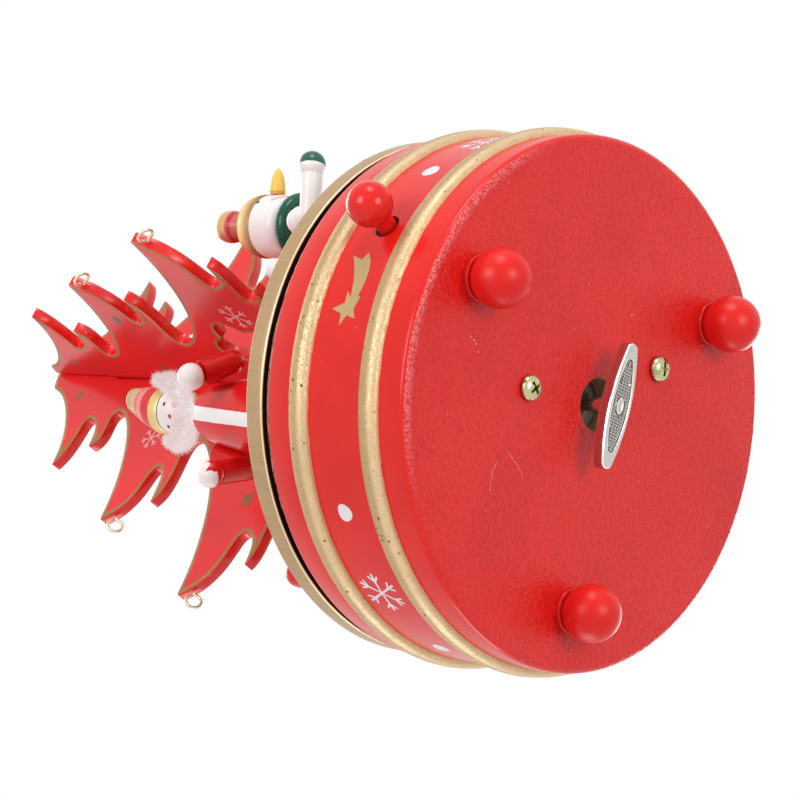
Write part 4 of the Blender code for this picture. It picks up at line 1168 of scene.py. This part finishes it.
class MUSICBOX_OT_tree(Operator):
    """Two crossed boards cut as a fir, with a gold outline, stars and snowflakes"""
    bl_idname = "music_box.tree"
    bl_label = "Tree"

    def gloss(self, r, colours, sizes):
        red = lacquered(r, colours.tree, shaded(colours.tree, 0.86), 0.22, 0.000008, 0.2, 420.0)
        line = gilded(r, colours.line_gold, 0.75, 3200.0, 0.00002)
        mask = striped(r, r.known("from_edge"), 0.02, sizes.line_width / MM, 0.35, 0.10)
        return {"Base Color": r.mix(mask, red["Colour"], line["Colour"]),
                "Roughness": r.blend(mask, red["Roughness"], line["Roughness"]),
                "Metallic": r.times(mask, 0.45), "Normal": red["Normal"]}

    def execute(self, context):
        colours, sizes = settings(context)
        board = finish("tree_gloss", self.gloss, colours, sizes)
        gilt = gold("tree_star_gold", shaded(colours.line_gold, 0.75), 0.35, 0.8)
        snow = lacquer("tree_snow_white", (0.88, 0.60, 0.60), (0.86, 0.42, 0.44), 0.4, 0.00002,
                       0.1, 1600.0)
        teal = lacquer("tree_spot_green", (0.10, 0.20, 0.13), None, 0.35, 0.00001, 0.1, 900.0)
        half, lift, low = PANEL_T / 2, sizes.paint / MM, DRUM_LOW / MM
        # Places by panel and face: distance from the middle, height and size, minus for one wing
        top, flake, spray = (6.8, 153.4, 1.6), (27.8, 79.7, 4.0), (17.0, 121.3, 2.7)
        pair = (top, (-6.8, 153.4, 1.6))
        stars = {("a", -1): (*pair, (6.2, 122.6, 1.7), (-4.6, 122.8, 1.7)),
                 ("a", 1): (*pair, (-25.4, 121.8, 1.7), (-13.5, 96.0, 2.0), (43.0, 84.5, 1.9)),
                 ("b", 1): (top, (30.7, 80.9, 2.3), (-28.1, 82.9, 2.3)),
                 ("b", -1): (top, (-14.5, 139.5, 1.7), (27.0, 112.5, 1.8), (-44.5, 83.5, 1.8))}
        flakes = {("a", -1): (flake, (-27.8, 79.7, 4.0)), ("a", 1): (flake, (-15.5, 108.0, 3.0)),
                  ("b", 1): (spray,), ("b", -1): (spray, (-14.0, 88.0, 3.2))}
        spots = {("a", -1): ((25.4, 120.8, 1.15),), ("b", -1): ((-25.4, 120.8, 1.15),)}
        paints = (("stars", stars, gilt, "gold_paint",
                   lambda size, k: star(size, 0.46 * size, 17 * k + 31)),
                  ("snow", flakes, snow, "white_paint",
                   lambda size, k: snowflake(size, 0.11 * size, 13 * k + 9)),
                  ("spots", spots, teal, "scarf_green",
                   lambda size, k: oval(size * 1.25, size * 0.8, 20.0)))
        for word, angle in (("a", TREE_ANGLE), ("b", TREE_ANGLE - 90)):
            where = shift(*TREE_AT) @ upright(angle)
            loop = softened(front_loop(f"tree_panel_{word}", angle))
            piece(f"fir_board_{word}", cut_board(loop, half, sizes.board_edge / MM), board,
                  "tree_panel_paint", "turntable", f"tree_panel_{word}", where)
            for kind, places, paint, slot, outline in paints:
                bm = bmesh.new()
                for face in (-1, 1):
                    for k, (r, z, size) in enumerate(places.get((word, face), ())):
                        ornament(bm, outline(size, k), on_panel(r, low + z, face, half), 1.2, lift)
                piece(f"fir_{kind}_{word}", bm, paint, slot, where=where)
        return {"FINISHED"}


class MUSICBOX_OT_screw_eyes(Operator):
    """Drawn brass eyes screwed into the tips of the branches"""
    bl_idname = "music_box.screw_eyes"
    bl_label = "Screw Eyes"

    def execute(self, context):
        brass = metal("eye_brass", (0.66, 0.58, 0.42), (0.40, 0.31, 0.20), 0.42, 0.6)
        for name in sorted(n for n in NODES if n.startswith("screw_eye_")):
            bm = bmesh.new()
            bm.from_mesh(NODES[name].data)
            bmesh.ops.remove_doubles(bm, verts=bm.verts, dist=1e-6)
            path = smooth(self.centre_line(bm), 4)
            bm.free()
            piece(name.replace("screw_", "wire_"), rod(path, EYE_WIRE_R, 12), brass, "brass",
                  stands_for=name)
        return {"FINISHED"}

    def centre_line(self, bm):
        """Middle of each ring of the wire, from one flat end to the other."""
        end = max(bm.faces, key=lambda f: len(f.verts))
        ring = set(end.verts) if len(end.verts) == 5 else self.end_ring(bm)
        seen, centres = set(), []
        while ring:
            centres.append(sum((v.co for v in ring), Vector()) / len(ring))
            seen |= ring
            ring = {e.other_vert(v) for v in ring for e in v.link_edges} - seen
        return centres

    def end_ring(self, bm):
        """The five points round an end that is closed by triangles."""
        flat = {}
        for face in bm.faces:
            key = tuple(round(c, 2) for c in face.normal)
            flat.setdefault(key, []).append(face)
        for faces in flat.values():
            verts = {v for f in faces for v in f.verts}
            if len(faces) == 3 and len(verts) == 5:
                return verts
        raise RuntimeError("the end of a screw eye was not found")


def stand(at, angle=0.0):
    """Place of a figure built in mm about its own upright axis."""
    return shift(*at, TABLE_TOP + GAP) @ upright(angle)


def sleeve(shoulder, elbow, wrist, radius, flare=1.0):
    """Bent arm from the shoulder to the elbow and forward to the wrist."""
    s, e, w = Vector(shoulder), Vector(elbow), Vector(wrist)
    first, last = (e - s).normalized(), (w - e).normalized()
    path = smooth([s, s + first * 0.9, e - first * 2.4, e - first * 0.7 + last * 0.3,
                   e + last * 0.9 - first * 0.1, e + last * 2.6, w], 5)
    shares = [k / (len(path) - 1) for k in range(len(path))]
    return rod(path, [radius * min(1.0, 0.55 + 3.2 * t)
                      * (1.0 + (flare - 1.0) * max(0.0, t - 0.6) / 0.4) for t in shares], 28)


def globe(centre, radius):
    bm = revolve(arc(radius, 0.0, -90, 90, 20), 40)
    bmesh.ops.translate(bm, verts=bm.verts, vec=Vector(centre))
    return bm


def on_ball(centre, radius, around, up):
    """Map a plane to a ball, x to the figure's left and y up, about a direction in degrees."""
    a, e = math.radians(around), math.radians(up)
    out = Vector((*polar(math.cos(e), a), math.sin(e)))
    side = Vector((-math.sin(a), math.cos(a), 0.0))

    def place(x, y, lift):
        point = out * radius + side * x + out.cross(side) * y
        return Vector(centre) + point.normalized() * (radius + lift)
    return place


class MUSICBOX_OT_doll(Operator):
    """Wooden doll in a red robe with a striped cap, raised hands and a painted face"""
    bl_idname = "music_box.doll"
    bl_label = "Doll"

    def robe_stripe(self, r):
        """White stripe down the front."""
        x, y, _ = r.local()
        return r.times(striped(r, y, -0.1, 2.9, 0.3, 0.1), r.calc("GREATER_THAN", x, 0.0))

    def execute(self, context):
        colours, sizes = settings(context)
        add = partial(piece, where=stand(DOLL_AT, DOLL_ANGLE))
        lift = sizes.paint / MM
        robe = painted("robe_gloss", colours.robe, ((colours.white, self.robe_stripe),), 0.22)
        body = [(9.9, 0.0), (10.75, 0.25), (11.1, 0.9), (10.6, 4.0), (9.8, 10.0), (8.3, 20.0),
                (6.7, 30.0), (5.6, 34.4), (4.5, 36.0), (2.5, 36.6)]
        add("robe", spun(body, 5, [(2.4, 39.4), (0.0, 39.4)]), robe, "robe_paint",
            stands_for="doll_robe")
        sleeves = lacquer("sleeve_gloss", shaded(colours.robe, 0.92), None, 0.2)
        arms = (("left", (0.4, 8.6, 34.6), (0.0, 11.7, 25.4), (9.4, 10.85, 26.25),
                 (11.9, 10.7, 26.4), 10.7),
                ("right", (0.4, -8.6, 34.6), (0.3, -11.2, 24.4), (12.2, -9.45, 22.6),
                 (13.6, -9.3, 22.5), 14.1))
        for word, shoulder, elbow, wrist, palm, cuff in arms:
            add(f"sleeve_{word}", sleeve(shoulder, elbow, wrist, 2.5, 1.04), sleeves,
                "robe_paint", stands_for=f"doll_arm_{word}")
            hand = painted(f"hand_paint_{word}", colours.skin,
                           ((colours.robe, band(0, 0.0, cuff, 0.9, 0.08)),), 0.34)
            add(f"hand_{word}", globe(palm, HAND_R), hand, "doll_face",
                stands_for=f"doll_hand_{word}")
        point = bmesh.new()
        ornament(point, [[(-1.75, 1.4), (-0.45, -0.5), (0.5, -1.6), (2.3, 0.5), (1.3, 1.5)]],
                 on_ball(arms[1][4], HAND_R, 58.6, -52.9), 0.3, lift)
        add("cuff_point", point, sleeves, "robe_paint")
        skin_paint = painted("skin_paint", colours.skin,
                             ((colours.hair, band(0, -9.0, -1.6, 0.8, 0.15)),), 0.34, (0,))
        head = [(0.0, HEAD_Z - HEAD_R), (2.0, HEAD_Z - 4.8), *arc(HEAD_R, HEAD_Z, -52, 27, 34),
                (0.0, HEAD_Z + 2.36)]
        add("doll_face_ball", revolve(head, 72), skin_paint, "doll_face", stands_for="doll_head")
        self.face(add, lift)
        self.cap(add, colours)
        self.collar(add, colours, sizes)
        return {"FINISHED"}

    def face(self, add, lift):
        """Painted eyes, mouth and cheeks, each at degrees round and up from straight ahead."""
        cheek = oval(0.72, 0.66)
        marks = (("doll_eyes", (0.012, 0.012, 0.016), 0.2, ((31.2, -2.9, oval(0.44, 0.32)),
                                                            (-25.4, -9.9, oval(0.44, 0.28)))),
                 ("doll_mouth", (0.66, 0.03, 0.05), 0.3, ((1.6, -21.9, oval(0.46, 0.34, 12.0)),)),
                 ("doll_cheeks", (0.92, 0.42, 0.56), 0.45, ((34.2, -31.6, cheek),)),
                 ("doll_faint_cheek", (0.92, 0.62, 0.62), 0.45, ((-44.1, -29.2, cheek),)))
        for name, tone, roughness, spots in marks:
            bm = bmesh.new()
            for around, up, outline in spots:
                ornament(bm, outline, on_ball((0.0, 0.0, HEAD_Z), HEAD_R, around, up), 0.3, lift)
            add(name, bm, lacquer(name + "_paint", tone, None, roughness, 0.000004, 0.0),
                "doll_face")

    def cap(self, add, colours):
        """Leaning cap with a gold band, a pink stripe and a brown tip."""
        gilt = colours.hair
        paint = painted("striped_cap", (0.78, 0.035, 0.035), (
            (gilt, band(2, CAP_Z - 1.0, CAP_Z + 2.5)),
            (tuple(0.3 + 0.7 * c for c in gilt), band(2, CAP_Z - 1.0, CAP_Z + 0.9, 0.5, 0.9)),
            (colours.pink, band(2, CAP_Z + 5.1, CAP_Z + 7.15)),
            ((0.56, 0.34, 0.15), band(2, CAP_Z + 7.6, CAP_Z + 20.0))), 0.34, (0,))
        crown = ((4.66, 0.0), (4.74, 0.3), (4.86, 1.2), (4.94, 2.4), (4.8, 3.3), (4.5, 5.2),
                 (3.8, 7.7), (3.1, 9.8), (2.85, 10.8), (2.5, 11.7), (1.5, 12.5), (0.4, 12.78))
        shape = spun([(r, CAP_Z + z) for r, z in crown], 5, [(0.0, CAP_Z + 12.8)])
        for vert in shape.verts:
            vert.co.y += CAP_LEAN * max(0.0, vert.co.z - CAP_Z - 2.6)
        add("cap", shape, paint, "cap_paint", stands_for="doll_cap")

    def plush(self, r, fur):
        cloth = lacquered(r, fur, shaded(fur, 0.93), 0.9, 0.00001, 0.0, 2200.0)
        return {"Base Color": cloth["Colour"], "Roughness": cloth["Roughness"],
                "Sheen Weight": 0.4, "Subsurface Weight": 0.3,
                "Subsurface Radius": (1.0, 0.9, 0.9), "Subsurface Scale": 0.0025}

    def collar(self, add, colours, sizes):
        """Plush ring: a lumpy core under many fine curved strands."""
        rng = random.Random(11)
        tilt = math.radians(78)
        plane = [(-0.84 * COLLAR_R, 0.75 * COLLAR_RISE), (-0.88 * COLLAR_R, 0.4 * COLLAR_RISE)]
        plane += [(x * (0.88 if x < 0 else 1.0), y) for x, y in (
            polar(COLLAR_R, math.radians(180 + 7.5 * k)) for k in range(25))]
        plane += [(COLLAR_R, COLLAR_RISE / 2), (COLLAR_R, COLLAR_RISE)]
        ring = [Vector(p) for p in smooth(
            [(COLLAR_AHEAD - up * math.cos(tilt), side, HEAD_Z + 0.3 + up * math.sin(tilt))
             for side, up in plane], 3)]
        last = len(ring) - 1
        radii = [(0.72 + 0.85 * min(1.0, abs(2.0 * k / last - 1.0) / 0.45))
                 * min(1.0, 0.55 + 4.0 * min(k, last - k) / last) for k in range(last + 1)]
        bm = rod(ring, radii, 24)
        for vert in bm.verts:
            vert.co += Vector([rng.uniform(-0.14, 0.14) for _ in range(3)])
        for _ in range(sizes.strands):
            k = rng.uniform(0.0, last - 0.001)
            start, end, radius = ring[int(k)], ring[int(k) + 1], radii[int(k)]
            self.strand(bm, rng, start.lerp(end, k % 1), (end - start).normalized(), radius,
                        sizes.strand / MM)
        plush = add("plush_collar", bm, finish("plush", self.plush, colours.fur), "white_fur",
                    stands_for="doll_fur_collar", crease=60.0)
        plush.visible_shadow = plush.visible_diffuse = False

    def strand(self, bm, rng, base, along, radius, reach):
        """One hair of three sides, rooted in the core and bent down a little at its tip."""
        out = along.orthogonal().normalized()
        x, y = polar(1.0, rng.uniform(0.0, math.tau))
        out = out * x + along.cross(out) * y
        lean = (out + along * rng.uniform(-0.9, 0.9)
                + along.cross(out) * rng.uniform(-0.9, 0.9)).normalized()
        long = reach * rng.uniform(0.35, 1.0) * min(1.0, 0.25 + radius / 2.0)
        root = base + out * radius * 0.75
        mid = root + (out * 0.6 + lean * 0.4) * long * 0.5
        tip = mid + lean * long * 0.5 + Vector((0.0, 0.0, -0.12 * long))
        across = lean.cross(Vector([rng.uniform(-1, 1) for _ in range(3)])).normalized() * 0.055
        over = lean.cross(across)
        rows = [[bm.verts.new(p + side * w) for side in (across, over - across * 0.5,
                                                         -over - across * 0.5)]
                for p, w in ((root, 1.0), (mid, 0.8))]
        end = bm.verts.new(tip)
        skin(bm, rows, caps=False)
        for i in range(3):
            bm.faces.new((rows[1][i], rows[1][(i + 1) % 3], end))


class MUSICBOX_OT_snowman(Operator):
    """Turned snowman with a gold hat, green scarf and mittens"""
    bl_idname = "music_box.snowman"
    bl_label = "Snowman"

    head_line = ((5.2, 35.5), (6.0, 36.0), (6.5, 36.7), (6.8, 37.8), (6.92, 39.2), (6.92, 41.2),
                 (6.86, 42.7))

    def mitten(self, r, colours, palm):
        """Green dipped over the outer half of the mitten, deeper on the side away from below."""
        white = lacquered(r, colours.white, shaded(colours.white, 0.95), 0.2, 0.00001, 0.1)
        x, y, z = (r.calc("SUBTRACT", value, at) for value, at in zip(r.local(), palm))
        towards = r.calc("ADD", r.times(y, -0.768), r.times(z, -0.641))
        rise = r.calc("SUBTRACT", x, r.times(towards, 0.37))
        dipped = striped(r, rise, -0.42, 30.0, 0.12, 0.06)
        return coat(white, r.mix(dipped, white["Colour"], colours.green))

    def hat(self, r):
        """Satin gold with painted shade towards the bobble and at the brim."""
        satin = gilded(r, (0.88, 0.60, 0.33), 0.92, 2600.0, 0.000012)
        z = r.local()[2]
        # Painted shade: dark brown over the hat's dome towards the bobble and the brim.
        edge = r.calc("MAXIMUM", r.ramp(z, 45.9, 47.2), r.ramp(z, 45.1, 43.3, 0.0, 0.8))
        return coat(satin, r.mix(edge, satin["Colour"], (0.36, 0.19, 0.075)), Metallic=0.8,
                    Specular_Tint=(0.66, 0.46, 0.27))

    def execute(self, context):
        colours, sizes = settings(context)
        add = partial(piece, where=stand(SNOWMAN_AT))
        white = lacquer("snow_gloss", colours.white, shaded(colours.white, 0.97), 0.2, 0.00001,
                        0.1, 700.0)
        green = lacquer("green_gloss", colours.green, shaded(colours.green, 0.6), 0.18, 0.00001,
                        0.15, 700.0)
        two_tone_and_shade = painted("bobble_paint", (0.66, 0.16, 0.16), (
            ((0.56, 0.030, 0.028), band(2, 52.7, 54.2, 0.2, 0.5)),
            ((0.72, 0.44, 0.20), band(2, 54.2, 70.0, 0.15, 0.25)),
            # Painted shade: dark brown over the bobble's outer end.
            ((0.40, 0.21, 0.08), band(2, 57.0, 70.0, 0.2, 1.2))), 0.3, (1,))
        body = ((5.2, 0.0), (6.3, 0.5), (6.8, 1.2), (7.8, 4.5), (8.1, 8.0), (8.0, 14.0),
                (6.9, 21.0), (6.0, 26.0), (5.4, 29.2), (4.4, 30.8), (3.5, 31.2))
        hat = ((6.86, 42.95), (7.0, 44.2), (6.7, 46.0), (5.8, 47.8), (4.3, 49.2), (2.8, 50.0),
               (2.4, 50.5))
        bobble = ((2.4, 51.4), (2.9, 52.6), (3.45, 54.0), (3.6, 55.4), (3.4, 56.9), (2.5, 58.3),
                  (1.3, 59.0), (0.4, 59.18))
        add("snow_body", spun(body, 5, [(3.4, 35.2), (0.0, 35.2)]), white, "white_paint",
            stands_for="snowman_body")
        scarf = [(x, y, SCARF_Z) for x, y in ellipse(72, SCARF_R, SCARF_R)]
        add("scarf", rod(scarf, SCARF_THICK, 26, closed=True), green, "scarf_green",
            stands_for="snowman_scarf")
        add("snow_head", spun(self.head_line, 6, [(6.8, 42.9), (0.0, 42.9)]), white,
            "white_paint", stands_for="snowman_head")
        add("gilt_hat", spun(hat, 6, [(2.3, 51.1), (0.0, 51.1)]), finish("hat_gold", self.hat),
            "gold_paint", stands_for="snowman_hat")
        add("bobble", spun(bobble, 6, [(0.0, 59.2)], 56), two_tone_and_shade, "gold_paint",
            stands_for="snowman_bobble")
        carrot = painted("carrot_paint", colours.carrot,
                         (((0.72, 0.30, 0.06), band(0, 0.0, 7.9, 0.5, 0.4)),), 0.38)
        nose = smooth([(x, 0.0, 41.4) for x in (7.0, 8.4, 10.1, 11.6, 12.6)], 5)
        radii = [float(r) for r, _ in smooth([(1.75, 0), (1.72, 1), (1.45, 2), (0.98, 3),
                                              (0.3, 4)], 5)]
        add("carrot_nose", rod(nose, radii, 28), carrot, "carrot", stands_for="snowman_nose")
        for side, word in ((1, "left"), (-1, "right")):
            palm = (12.4, 8.7 * side, 21.9)
            arm = sleeve((1.5, 8.3 * side, 25.9), (1.0, 9.5 * side, 21.0),
                         (10.6, 8.85 * side, 21.7), 2.3)
            shoulder = bpy.data.meshes.new("shoulder")
            globe((0.5, 8.2 * side, 25.2), 2.95).to_mesh(shoulder)
            arm.from_mesh(shoulder)
            bpy.data.meshes.remove(shoulder)
            add(f"snow_arm_{word}", arm, white, "white_paint", stands_for=f"snowman_arm_{word}")
            dipped = finish(f"mitten_paint_{word}", self.mitten, colours, palm)
            add(f"mitten_{word}", globe(palm, MITTEN_R), dipped, "scarf_green",
                stands_for=f"snowman_mitten_{word}")
        self.smile(add, colours, sizes.paint / MM)
        return {"FINISHED"}

    def on_head(self, around, height):
        """Map a plane to the head's side, about a direction in degrees and a height."""
        reach, heights = zip(*self.head_line)

        def place(x, y, lift):
            radius = float(np.interp(height + y, heights, reach)) + 0.04 + lift
            return (*polar(radius, math.radians(around) + x / SNOW_HEAD_R), height + y)
        return place

    def smile(self, add, colours, lift):
        """Painted smile and two eyes on the head."""
        curve = [(x, 0.10 * x * x - 0.5) for x in (-4.6 + 0.8 * k for k in range(13))]
        smile, eyes = bmesh.new(), bmesh.new()
        ornament(smile, [stroke(a, b, 0.42) for a, b in zip(curve, curve[1:])],
                 self.on_head(0.0, 37.1), 0.6, lift)
        for around in (-44.0, 44.0):
            ornament(eyes, oval(0.5, 0.42), self.on_head(around, 42.3), 0.4, lift)
        for name, bm, paint, tone, rough in (
                ("snow_smile", smile, "smile_paint", colours.blush, 0.3),
                ("snow_eyes", eyes, "snow_eye_paint", (0.05, 0.035, 0.03), 0.2)):
            add(name, bm, lacquer(paint, tone, None, rough, 0.000004, 0.0), "white_paint")


class MUSICBOX_OT_pegs(Operator):
    """Two plain turned pegs, a slim white one and a red one"""
    bl_idname = "music_box.pegs"
    bl_label = "Pegs"

    def execute(self, context):
        colours, _ = settings(context)
        tall = ((2.0, 0.0), (2.15, 0.2), (2.2, 0.5), (2.2, 8.0), (2.2, 17.0), (1.9, 18.6),
                (1.2, 19.4), (0.4, 19.68))
        short = ((2.8, 0.0), (2.98, 0.3), (3.0, 1.0), (3.0, 7.0), (3.0, 13.6), (2.7, 15.3),
                 (1.9, 16.5), (1.0, 17.0))
        for word, line, top, at, tone, pits, slot in (
                ("white", tall, 19.7, (25.0 * MM, -30.0 * MM), colours.white, 0.2, "white_paint"),
                ("red", short, 17.1, (-37.9 * MM, -22.2 * MM), colours.robe, 0.3, "robe_paint")):
            paint = lacquer(f"peg_{word}", tone, None, 0.24, 0.00001, pits, 700.0)
            piece(f"turned_{word}_peg", spun(line, 5, [(0.0, top)], 56), paint, slot,
                  stands_for=f"{word}_peg", where=stand(at))
        return {"FINISHED"}


class MUSICBOX_OT_studio(Operator):
    """Pale floor, even white tent, soft lamps and the camera"""
    bl_idname = "music_box.studio"
    bl_label = "Studio"

    def execute(self, context):
        scene, studio = context.scene, context.scene.music_box_studio
        self.floor(studio.floor_size, context.scene.music_box_colours.floor)
        self.tent(scene, studio.world)
        aim = Vector((0.0, 0.0, 0.06))
        lamps = (("front", (0.28, -1.00, 0.12), 0.46, 0.46, 1.0),
                 ("below", (0.28, -0.12, -0.98), 0.46, 0.46, 1.0),
                 ("right", (1.0, -0.25, -0.1), 0.40, 0.40, 0.8),
                 ("above", (0.1, 0.2, 1.1), 0.6, 0.6, 1.0),
                 ("back", (-0.2, 1.05, 0.35), 0.5, 0.5, 0.9),
                 ("left", (-1.0, 0.1, 0.2), 0.5, 0.5, 0.7))
        for name, at, width, height, share in lamps:
            light = bpy.data.lights.new(f"lamp_{name}", "AREA")
            light.shape, light.size, light.size_y = "RECTANGLE", width, height
            light.energy = studio.key_power * share
            lamp = bpy.data.objects.new(f"lamp_{name}", light)
            scene.collection.objects.link(lamp)
            lamp.location = at
            lamp.rotation_euler = (aim - Vector(at)).to_track_quat("-Z", "Y").to_euler()
        self.camera(scene)
        scene.view_settings.view_transform = "Standard"
        return {"FINISHED"}

    def floor(self, size, tone):
        """Plane that shows only from above, so that the underside can be seen and lit."""
        bm = bmesh.new()
        bmesh.ops.create_grid(bm, x_segments=4, y_segments=4, size=size / 2)
        obj = to_object(bm, "studio_floor")
        mat = finish("studio_floor", lambda r: {"Base Color": tone, "Roughness": 0.8})
        r, nodes = Recipe(mat.node_tree), mat.node_tree.nodes
        clear = r.add("ShaderNodeBsdfTransparent").outputs[0]
        back = r.add("ShaderNodeNewGeometry").outputs["Backfacing"]
        both = r.add("ShaderNodeMixShader", {0: back, 1: nodes["Principled BSDF"].outputs[0],
                                             2: clear})
        r.feed(nodes["Material Output"].inputs[0], both.outputs[0])
        obj.data.materials.append(mat)
        obj.visible_shadow = obj.visible_diffuse = False
        obj.visible_glossy = obj.visible_transmission = False

    def tent(self, scene, strength):
        world = bpy.data.worlds.new("studio_tent")
        world.use_nodes = True
        scene.world = world
        r = Recipe(world.node_tree)
        path = r.add("ShaderNodeLightPath").outputs
        seen = r.calc("MAXIMUM", path["Is Camera Ray"], path["Is Glossy Ray"])
        seen = r.calc("MAXIMUM", seen, path["Is Transmission Ray"])
        background = world.node_tree.nodes["Background"]
        r.feed(background.inputs["Color"], (1.0, 1.0, 1.0))
        r.feed(background.inputs["Strength"], r.blend(seen, strength, 1.0))

    def camera(self, scene):
        data = bpy.data.cameras.new("photo_camera")
        data.sensor_width, data.lens = 36.0, 138.0
        data.clip_start = 0.01
        obj = bpy.data.objects.new("photo_camera", data)
        scene.collection.objects.link(obj)
        obj.location = (0.0, -0.466286, -0.389137)
        obj.rotation_euler = tuple(math.radians(a) for a in (-2.8206, 134.2933, -93.8259))
        scene.camera = obj


class MUSICBOX_PT_panel(Panel):
    """Lists the music box's operators, sizes and colours"""
    bl_label = "Music Box"
    bl_idname = "MUSICBOX_PT_panel"
    bl_space_type = "VIEW_3D"
    bl_region_type = "UI"
    bl_category = "Music Box"

    def draw(self, context):
        scene = context.scene
        for step in STEPS:
            self.layout.operator(step.bl_idname)
        for settings in (scene.music_box_sizes, scene.music_box_colours, scene.music_box_studio):
            box = self.layout.box()
            for key in settings.bl_rna.properties.keys():
                if key not in ("rna_type", "name"):
                    box.prop(settings, key)


STEPS = (MUSICBOX_OT_studio, MUSICBOX_OT_drum, MUSICBOX_OT_drum_ornaments,
         MUSICBOX_OT_feet_and_knob, MUSICBOX_OT_winding_key, MUSICBOX_OT_screws,
         MUSICBOX_OT_movement, MUSICBOX_OT_turntable, MUSICBOX_OT_tree, MUSICBOX_OT_screw_eyes,
         MUSICBOX_OT_doll, MUSICBOX_OT_snowman, MUSICBOX_OT_pegs)
SETTINGS = (MusicBoxColours, MusicBoxSizes, MusicBoxStudio)


def register():
    for cls in (*SETTINGS, *STEPS, MUSICBOX_PT_panel):
        bpy.utils.register_class(cls)
    bpy.types.Scene.music_box_colours = PointerProperty(type=MusicBoxColours)
    bpy.types.Scene.music_box_sizes = PointerProperty(type=MusicBoxSizes)
    bpy.types.Scene.music_box_studio = PointerProperty(type=MusicBoxStudio)


def unregister():
    del bpy.types.Scene.music_box_colours
    del bpy.types.Scene.music_box_sizes
    del bpy.types.Scene.music_box_studio
    for cls in reversed((*SETTINGS, *STEPS, MUSICBOX_PT_panel)):
        bpy.utils.unregister_class(cls)


def main():
    register()
    for build_group in (lacquer_group, gold_group, metal_group, band_group):
        build_group()
    for step in STEPS:
        family, word = step.bl_idname.split(".")
        getattr(getattr(bpy.ops, family), word)()
    for mesh in [m for m in bpy.data.meshes if m.users == 0]:
        bpy.data.meshes.remove(mesh)


if __name__ == "__main__":
    main()
